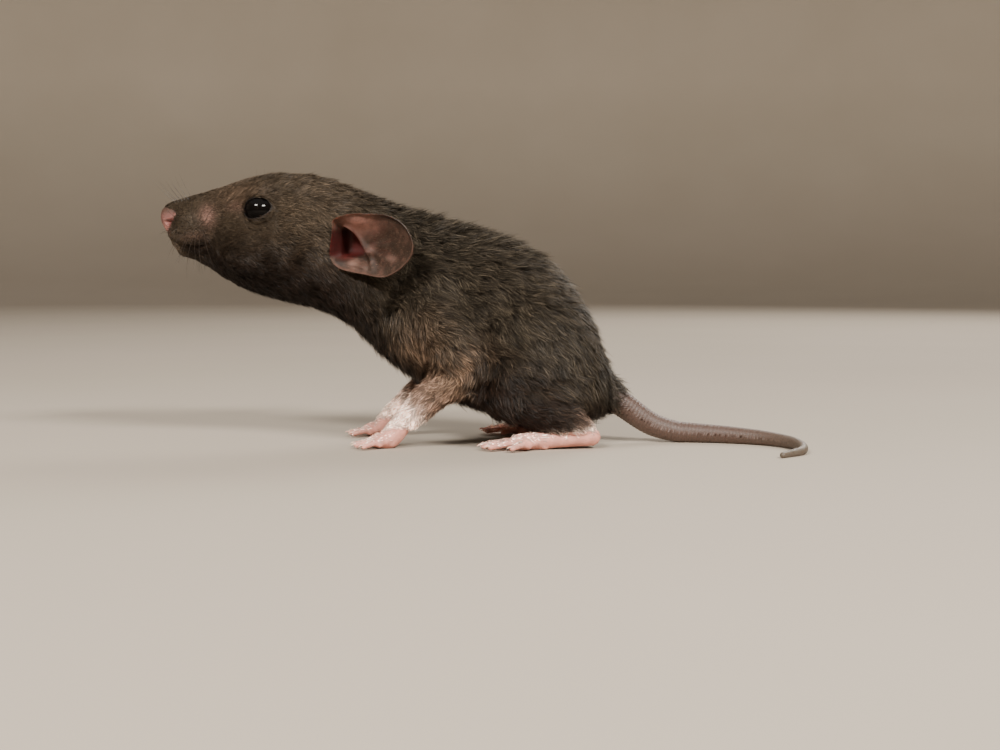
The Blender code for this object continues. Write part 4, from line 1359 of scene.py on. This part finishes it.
def build_coat(skin, obstacles, quick):
    """All the coat, as pieces that stay under the limit of triangles."""
    hide = Hide(skin.data)
    bare = bare_at(hide.points)
    _, length = coat_at(hide.points, limbs_at(hide.points))
    sparse = feet_at(hide.points) * smooth(0.0, 0.6, hide.normals[:, 2]) * 0.22
    need = np.maximum((1 - bare) / length**0.9, sparse)
    pieces = []
    for region, start, end, tufts, hairs, spread, width, seed, clumps, draw_in, contrast in COAT_PLAN:
        where = (hide.points[:, 0] >= start) & (hide.points[:, 0] < end)
        tufts = tufts // 4 if quick else tufts
        points, normals = hide.roots(tufts, need * where, seed)
        x = points[:, 0]
        draw = np.random.default_rng(seed + 1)
        limbs = limbs_at(points)
        tall, long = coat_at(points, limbs)
        drift = 0.4 * waves(points, seed + 2, 16, 1.6, 6.0) + draw.normal(0, 0.24, tufts)
        ways = turned(lie_of(points, normals, limbs), normals, drift)
        stand = 1.0 + 0.25 * waves(points, seed + 3, 16, 1.2, 5.0) + draw.normal(0, 0.12, tufts)
        loose = 0.03 + 0.07 * smooth(0.2, 0.9, np.abs(normals[:, 2])) * smooth(-24, -10, x)
        throat = smooth(0.1, 0.7, -normals[:, 2]) * smooth(-31, -22, x) * (1 - smooth(2, 8, x))
        wild = draw.uniform(size=tufts) < loose + 0.22 * throat
        stand = np.clip(stand + wild * draw.uniform(0.3, 0.9, tufts), 0.35, 1.8)
        grown = 1.0 + draw.normal(0, 0.14, tufts) + wild * (0.12 + 0.2 * throat)
        long = long * np.clip(grown, 0.5, 1.6)
        lines, keep = guide_lines(hide, obstacles, points, normals, ways, long, tall * stand)
        clump = clump_of(points, clumps)
        apart = np.linalg.norm(points - points[clump], axis=1)
        pull = draw_in * draw.uniform(0.4, 1.2, tufts) * (apart < 2.0) * (keep > 0.99)
        lines = [blend(line, line[clump], pull * share) for line, share in zip(lines, SHARES)]
        across = np.cross(ways, normals)
        rows = [[] for _ in SHARES]
        sides = []
        for _ in range(hairs):
            offset = draw.normal(0, spread, (tufts, 2))
            shift = across * offset[:, :1] + ways * offset[:, 1:]
            tip = draw.normal(0, 0.055, (tufts, 3)) * long[:, None]
            grown = draw.uniform(0.72, 1.12, tufts)[:, None]
            for row, line, share in zip(rows, lines, SHARES):
                row.append(lines[0] + (line - lines[0]) * grown + shift * (1 - 0.35 * share) + tip * share)
            sides.append(turned(across, ways, draw.normal(0, 0.55, tufts)))
        rows = [np.concatenate(row) for row in rows]
        sides = np.concatenate(sides)
        shade = draw.uniform(size=tufts)
        shade = 0.55 * shade + 0.45 * shade[clump] + 0.12 * waves(points, seed + 4, 16, 1.2, 5.0)
        tone = np.stack([np.tile(shade, hairs), draw.uniform(size=len(sides))], axis=1)
        tone = 0.5 + (tone - 0.5) * contrast
        widths = width * draw.uniform(0.7, 1.3, len(sides))
        tuft = np.tile(np.arange(tufts), hairs)
        order = np.argsort(x[tuft], kind="stable")
        order = order[keep[tuft[order]] > 0.3]
        colour, place = coat_colour(points, normals, limbs), unwrapped(points, limbs)
        most = MOST_TRIANGLES // STRAND_TRIANGLES
        for number, first in enumerate(range(0, len(order), most)):
            chosen = order[first : first + most]
            own = tuft[chosen]
            parts = sides[chosen], widths[chosen], colour[own], tone[chosen], place[own]
            piece = strand_mesh(f"coat_{region}_{number + 1}", [row[chosen] for row in rows], *parts)
            pieces.append(piece)
    return pieces


def ear_down(side, sign, ear):
    """Sparse short hairs on the ear, that lie towards its edge, with more of them on its back."""
    hide = Hide(ear.data)
    along, up, out = ear_axes(sign)
    s, t, _ = in_ear_plane(hide.points, sign).T
    pit = smooth(1.0, 1.35, np.hypot((s + 0.3) / 3.0, (t + 0.4) / 3.0))
    points, normals = hide.roots(EAR_HAIRS, pit * (0.45 + 0.55 * (hide.normals @ out < 0)), 51)
    draw = np.random.default_rng(52)
    s, t, _ = in_ear_plane(points, sign).T
    ways = laid_flat((s + 0.5)[:, None] * along + (t + 0.5)[:, None] * up, normals)
    ways = turned(ways, normals, draw.normal(0, 0.35, EAR_HAIRS))
    length = draw.uniform(0.25, 0.6, EAR_HAIRS)[:, None]
    lift = draw.uniform(0.06, 0.25, EAR_HAIRS)[:, None]
    rows = [points + (ways + normals * lift) * length * share for share in SHARES]
    colours = np.tile(EAR_DOWN, (EAR_HAIRS, 1))
    tone = draw.uniform(size=(EAR_HAIRS, 2))
    u = 0.02 + 0.45 * (s + 3.5) / 17 + (0.5 if sign > 0 else 0.0)
    place = np.stack([u, 0.98 - 0.02 * (t + 6) / 12], axis=1)
    widths = np.full(EAR_HAIRS, 0.02)
    return strand_mesh("ear_down_" + side, rows, np.cross(ways, normals), widths, colours, tone, place)


# ---------------------------------------------------------------- materials


def feed(tree, node, sockets):
    """Sets a node's inputs, or links them to the outputs that they come from."""
    for name, value in sockets.items():
        if isinstance(value, bpy.types.NodeSocket):
            tree.links.new(value, node.inputs[name])
        else:
            node.inputs[name].default_value = value


def add(tree, kind, sockets=None, out=0, **settings):
    """Adds a node with its settings and links, and gives one of its outputs."""
    node = tree.nodes.new("ShaderNode" + kind)
    for name, value in settings.items():
        setattr(node, name, value)
    feed(tree, node, sockets or {})
    return node.outputs[out]


def new_material(name):
    made = bpy.data.materials.new(name)
    made.use_nodes = True
    return made, made.node_tree


def surfaced(made, sockets):
    """Feeds the surface of a material."""
    feed(made.node_tree, made.node_tree.nodes["Principled BSDF"], sockets)
    return made


def rgba(colour):
    return (*linear(colour), 1.0)


def marked(tree, light):
    """The markings kept on the piece, dimmed or brightened."""
    markings = add(tree, "Attribute", out="Color", attribute_name="markings")
    return add(tree, "VectorMath", {0: markings, "Scale": light}, operation="SCALE")


def mottled(tree, place, size, detail, first, second):
    """Two tones in soft blotches, which are smaller at a higher size."""
    cloud = add(tree, "TexNoise", {"Vector": place, "Scale": size, "Detail": detail})
    return add(tree, "Mix", {0: cloud, 6: rgba(first), 7: rgba(second)}, 2, data_type="RGBA")


def fur_material():
    """Soft hair of a young rat: dark at the root and paler towards the tip. Tufts and single hairs
    differ in tone, and a few have bright tips, so that the coat looks deep and speckled."""
    made, tree = new_material("soft dark hair")
    # Place along the hair, tone of the tuft, tone of the hair.
    strand = add(tree, "Attribute", out="Vector", attribute_name="strand")
    along = add(tree, "SeparateXYZ", {0: strand})
    tuft, hair = along.node.outputs["Y"], along.node.outputs["Z"]
    length = add(tree, "MapRange", {"Value": along, "To Min": 0.42, "To Max": 1.3})
    tone = add(tree, "MapRange", {"Value": tuft, "To Min": 0.55, "To Max": 1.4})
    both = add(tree, "Math", {0: length, 1: tone}, operation="MULTIPLY")
    own = add(tree, "MapRange", {"Value": hair, "To Min": 0.62, "To Max": 1.48})
    whole = add(tree, "Math", {0: both, 1: own}, operation="MULTIPLY")
    few = add(tree, "MapRange", {"Value": hair, "From Min": 0.78, "From Max": 1.0, "To Max": 2.8})
    tip = add(tree, "Math", {0: few, 1: along, 2: 1.0}, operation="MULTIPLY_ADD")
    light = add(tree, "Math", {0: whole, 1: tip}, operation="MULTIPLY")
    look = {"Base Color": marked(tree, light), "Roughness": 0.5, "Specular IOR Level": 0.22}
    return surfaced(made, look)


def skin_material():
    """Thin living skin: softly flushed, finely wrinkled where it is bare, dull under the coat."""
    made, tree = new_material("thin skin")
    place = add(tree, "TexCoord", out="Object")
    bare = add(tree, "Attribute", out="Fac", attribute_name="bare")
    blotch = add(tree, "TexNoise", {"Vector": place, "Scale": 900.0, "Detail": 4.0})
    flush = {"Value": blotch, "From Min": 0.35, "From Max": 0.7, "To Min": 0.82, "To Max": 1.12}
    cells = {"Vector": place, "Scale": 4200.0}
    cells = add(tree, "TexVoronoi", cells, feature="DISTANCE_TO_EDGE")
    fine = add(tree, "Math", {0: cells, 1: bare}, operation="MULTIPLY")
    stretch = add(tree, "Mapping", {"Vector": place, "Scale": (900.0, 6000.0, 6000.0)})
    grain = add(tree, "TexNoise", {"Vector": stretch, "Scale": 1.0, "Detail": 3.0})
    height = add(tree, "Math", {0: fine, 1: grain}, operation="ADD")
    look = {
        "Base Color": marked(tree, add(tree, "MapRange", flush)),
        "Normal": add(tree, "Bump", {"Height": height, "Strength": 0.5, "Distance": 0.00012}),
        "Roughness": 0.55,
        "Specular IOR Level": 0.3,
        "Subsurface Weight": 0.1,
        "Subsurface Scale": 0.0012,
        "Subsurface Radius": (1.0, 0.35, 0.2),
    }
    return surfaced(made, look)


def ear_material():
    """Ear skin less than half a millimetre thick, mottled and soft, so that it looks lit from within."""
    made, tree = new_material("thin ear skin")
    place = add(tree, "TexCoord", out="Object")
    blotch = {"Vector": place, "Scale": 700.0, "Detail": 8.0, "Roughness": 0.7}
    blotch = add(tree, "TexNoise", blotch)
    flush = {"Value": blotch, "From Min": 0.3, "From Max": 0.75, "To Min": 0.72, "To Max": 1.25}
    cells = add(tree, "TexVoronoi", {"Vector": place, "Scale": 3200.0})
    soft = add(tree, "TexNoise", {"Vector": place, "Scale": 900.0, "Detail": 3.0})
    height = add(tree, "Math", {0: cells, 1: soft}, operation="ADD")
    look = {
        "Base Color": marked(tree, add(tree, "MapRange", flush)),
        "Normal": add(tree, "Bump", {"Height": height, "Strength": 0.3, "Distance": 0.00006}),
        "Roughness": 0.62,
        "Specular IOR Level": 0.26,
        "Subsurface Weight": 0.2,
        "Subsurface Scale": 0.0008,
        "Subsurface Radius": (1.0, 0.4, 0.25),
    }
    return surfaced(made, look)


def tail_material():
    """Dry tail skin, tiled with scales of about half a millimetre, with darker seams between them."""
    made, tree = new_material("scaled tail skin")
    place = add(tree, "TexCoord", out="Object")
    cells = {"Vector": place, "Scale": 2300.0}
    cells = add(tree, "TexVoronoi", cells, feature="DISTANCE_TO_EDGE")
    seam = add(tree, "MapRange", {"Value": cells, "From Max": 0.12, "To Min": 0.7, "To Max": 1.08})
    look = {
        "Base Color": marked(tree, seam),
        "Normal": add(tree, "Bump", {"Height": seam, "Strength": 0.5, "Distance": 0.00008}),
        "Roughness": 0.5,
        "Subsurface Weight": 0.05,
        "Subsurface Scale": 0.001,
    }
    return surfaced(made, look)


def eye_material():
    """A wet black eye: a smooth clear cornea over an iris too dark to tell from the pupil. It
    reflects more in its upper half, where the lamp shines, and less below."""
    made, tree = new_material("wet black eye")
    place = add(tree, "TexCoord", out="Object")
    height = add(tree, "SeparateXYZ", {0: place}, "Z")
    gloss = {"Value": height, "From Min": 0.0382, "From Max": 0.0404, "To Min": 0.08, "To Max": 0.42}
    look = {
        "Base Color": mottled(tree, place, 700.0, 2.0, "#030304", "#0c0908"),
        "Specular IOR Level": add(tree, "MapRange", gloss),
        "Roughness": 0.03,
        "IOR": 1.376,
    }
    return surfaced(made, look)


def horn_material():
    """Thin claw horn: pale and a little see-through, in two close tones."""
    made, tree = new_material("pale claw horn")
    place = add(tree, "TexCoord", out="Object")
    look = {
        "Base Color": mottled(tree, place, 2600.0, 2.0, "#d9ab98", "#ecd0c0"),
        "Roughness": 0.32,
        "Subsurface Weight": 0.3,
        "Subsurface Scale": 0.0006,
    }
    return surfaced(made, look)


def whisker_material():
    """Stiff smooth whiskers, dark brown with paler lengths."""
    made, tree = new_material("stiff whisker hair")
    place = add(tree, "TexCoord", out="Object")
    tint = mottled(tree, place, 300.0, 1.0, "#17110e", "#463b33")
    return surfaced(made, {"Base Color": tint, "Roughness": 0.35})


def floor_material():
    """Matt pale board, a little lighter where it rises into the wall."""
    made, tree = new_material("pale matt board")
    place = add(tree, "TexCoord", out="Object")
    height = add(tree, "SeparateXYZ", {0: place}, "Z")
    rise = add(tree, "MapRange", {"Value": height, "From Min": 0.0, "From Max": 0.25})
    level = mottled(tree, place, 9.0, 3.0, "#a1978a", "#a89e92")
    wall = mottled(tree, place, 9.0, 3.0, "#c9bcaa", "#d6cab9")
    both = add(tree, "Mix", {0: rise, 6: level, 7: wall}, 2, data_type="RGBA")
    return surfaced(made, {"Base Color": both, "Roughness": 0.9, "Specular IOR Level": 0.2})


# ---------------------------------------------------------------- stage

# Distances on the stage are in metres. The camera stands level with the rat and looks along +Y.
WALL_PROFILE = (
    (0.0, 0.0),
    (1.1, 0.0),
    (1.3, 0.02),
    (1.45, 0.09),
    (1.55, 0.22),
    (1.58, 0.4),
    (1.58, 1.3),
)
WARM_WHITE = (1.0, 0.95, 0.88)
ROOM_LIGHT = 0.42
# Name, way from the near eye, distance, width and height, watts.
LAMPS = (
    ("front lamp", (-0.345, -0.73, 0.59), 0.6, (0.2, 0.08), 4.6),
    ("side lamp", (0.527, -0.66, 0.536), 0.6, (0.2, 0.08), 5.6),
    ("far lamp", (0.5, 0.75, 0.6), 0.8, (0.4, 0.4), 5.0),
)
CAMERA_TARGET = Vector((17.0, 0.0, 11.4))
CAMERA_TILT = math.radians(4.0)
CAMERA_ANGLE = math.radians(37)
CAMERA_DISTANCE = 0.2541
SENSOR_WIDTH = 36.0


def placed(point):
    """A point of the working frame, in metres and in its place."""
    return (point + OFFSET) * METRES


def aimed(name, data, target, way, distance):
    """Sets a lamp or camera at a distance from its target, and turns it there."""
    item = linked(name, data)
    item.location = target + way * distance
    item.rotation_euler = (-way).to_track_quat("-Z", "Y").to_euler()
    return item


def build_stage():
    """A pale floor that rises into a far wall all round, soft lights and the camera."""
    bm = bmesh.new()
    verts = [bm.verts.new((x, 0, z)) for x, z in WALL_PROFILE]
    edges = [bm.edges.new(pair) for pair in zip(verts, verts[1:])]
    bmesh.ops.spin(bm, geom=verts + edges, axis=UP, angle=math.tau, steps=96, use_merge=True)
    bmesh.ops.remove_doubles(bm, verts=bm.verts, dist=1e-6)
    floor = object_of("floor", bm)
    floor.data.materials.append(floor_material())
    floor.data.polygons.foreach_set("use_smooth", [True] * len(floor.data.polygons))
    if floor.data.polygons[0].normal.z < 0:
        floor.data.flip_normals()

    world = bpy.data.worlds.new("soft room")
    bpy.context.scene.world = world
    world.use_nodes = True
    look = {"Color": (*WARM_WHITE, 1.0), "Strength": ROOM_LIGHT}
    feed(world.node_tree, world.node_tree.nodes["Background"], look)

    for name, way, distance, size, watts in LAMPS:
        lamp = bpy.data.lights.new(name, "AREA")
        lamp.shape = "RECTANGLE"
        lamp.size, lamp.size_y = size
        lamp.energy = watts
        lamp.color = WARM_WHITE
        aimed(name, lamp, placed(mirrored(EYE, -1)), Vector(way).normalized(), distance)

    camera = bpy.data.cameras.new("camera")
    camera.sensor_width = SENSOR_WIDTH
    camera.lens = SENSOR_WIDTH / 2 / math.tan(CAMERA_ANGLE / 2)
    camera.clip_start = 0.01
    back = Vector((0, -math.cos(CAMERA_TILT), math.sin(CAMERA_TILT)))
    item = aimed("camera", camera, placed(CAMERA_TARGET), back, CAMERA_DISTANCE)
    bpy.context.scene.camera = item


# ---------------------------------------------------------------- the rat


def finish(item, material, slot, *nodes):
    """Gives a piece its material and body, and hides the solids that it stands for. Its slot is not used.
    """
    item.data.materials.clear()
    item.data.materials.append(material)
    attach(item, "root")
    if nodes:
        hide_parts(*nodes)


def tree_of(items):
    """The surface of some pieces, for finding places on it."""
    verts, faces = [], []
    for item in items:
        start = len(verts)
        verts += points_of(item.data).tolist()
        faces += [[start + index for index in face.vertices] for face in item.data.polygons]
    return BVHTree.FromPolygons(verts, faces)


def main():
    build_stage()
    skin, claws = build_skin()
    ears = [ear_piece(side, sign) for side, sign in SIDES]
    balls = [eye_piece(side, sign) for side, sign in SIDES]
    hairs = whiskers(tree_of([skin]))
    coat = build_coat(skin, tree_of(ears + balls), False)
    down = [ear_down(side, sign, ear) for (side, sign), ear in zip(SIDES, ears)]

    lighter(skin, MOST_TRIANGLES)
    points, normals = points_of(skin.data), normals_of(skin.data)
    bare = bare_at(points)
    colour = skin_colour(points, normals, limbs_at(points), bare)
    store(skin.data, "markings", "FLOAT_COLOR", colour)
    store(skin.data, "bare", "FLOAT", bare)

    flesh_nodes = ["head", "neck", "torso", "nose"]
    for side, _ in SIDES:
        flesh_nodes += [part + "_" + side for part in ("foreleg", "hindleg", "forepaw", "hindfoot")]
    finish(to_place(skin, "skin"), skin_material(), "pink_skin", *flesh_nodes)
    thin, wet = ear_material(), eye_material()
    for (side, _), ear, ball in zip(SIDES, ears, balls):
        finish(to_place(ear, "ear_cup_" + side), thin, "ear_skin", "ear_" + side)
        finish(to_place(ball), wet, "eye", "eye_" + side)
    tail = to_place(tail_piece(), "ringed_tail")
    finish(tail, tail_material(), "tail_skin", "tail_base", "tail_middle", "tail_tip")
    horn = horn_material()
    for name, nails in claws:
        finish(to_place(joined(name, nails)), horn, "pink_skin")
    finish(to_place(hairs), whisker_material(), "coat")
    hair = fur_material()
    for item in coat:
        finish(item, hair, "coat")
    for item in down:
        finish(item, hair, "ear_skin")


main()
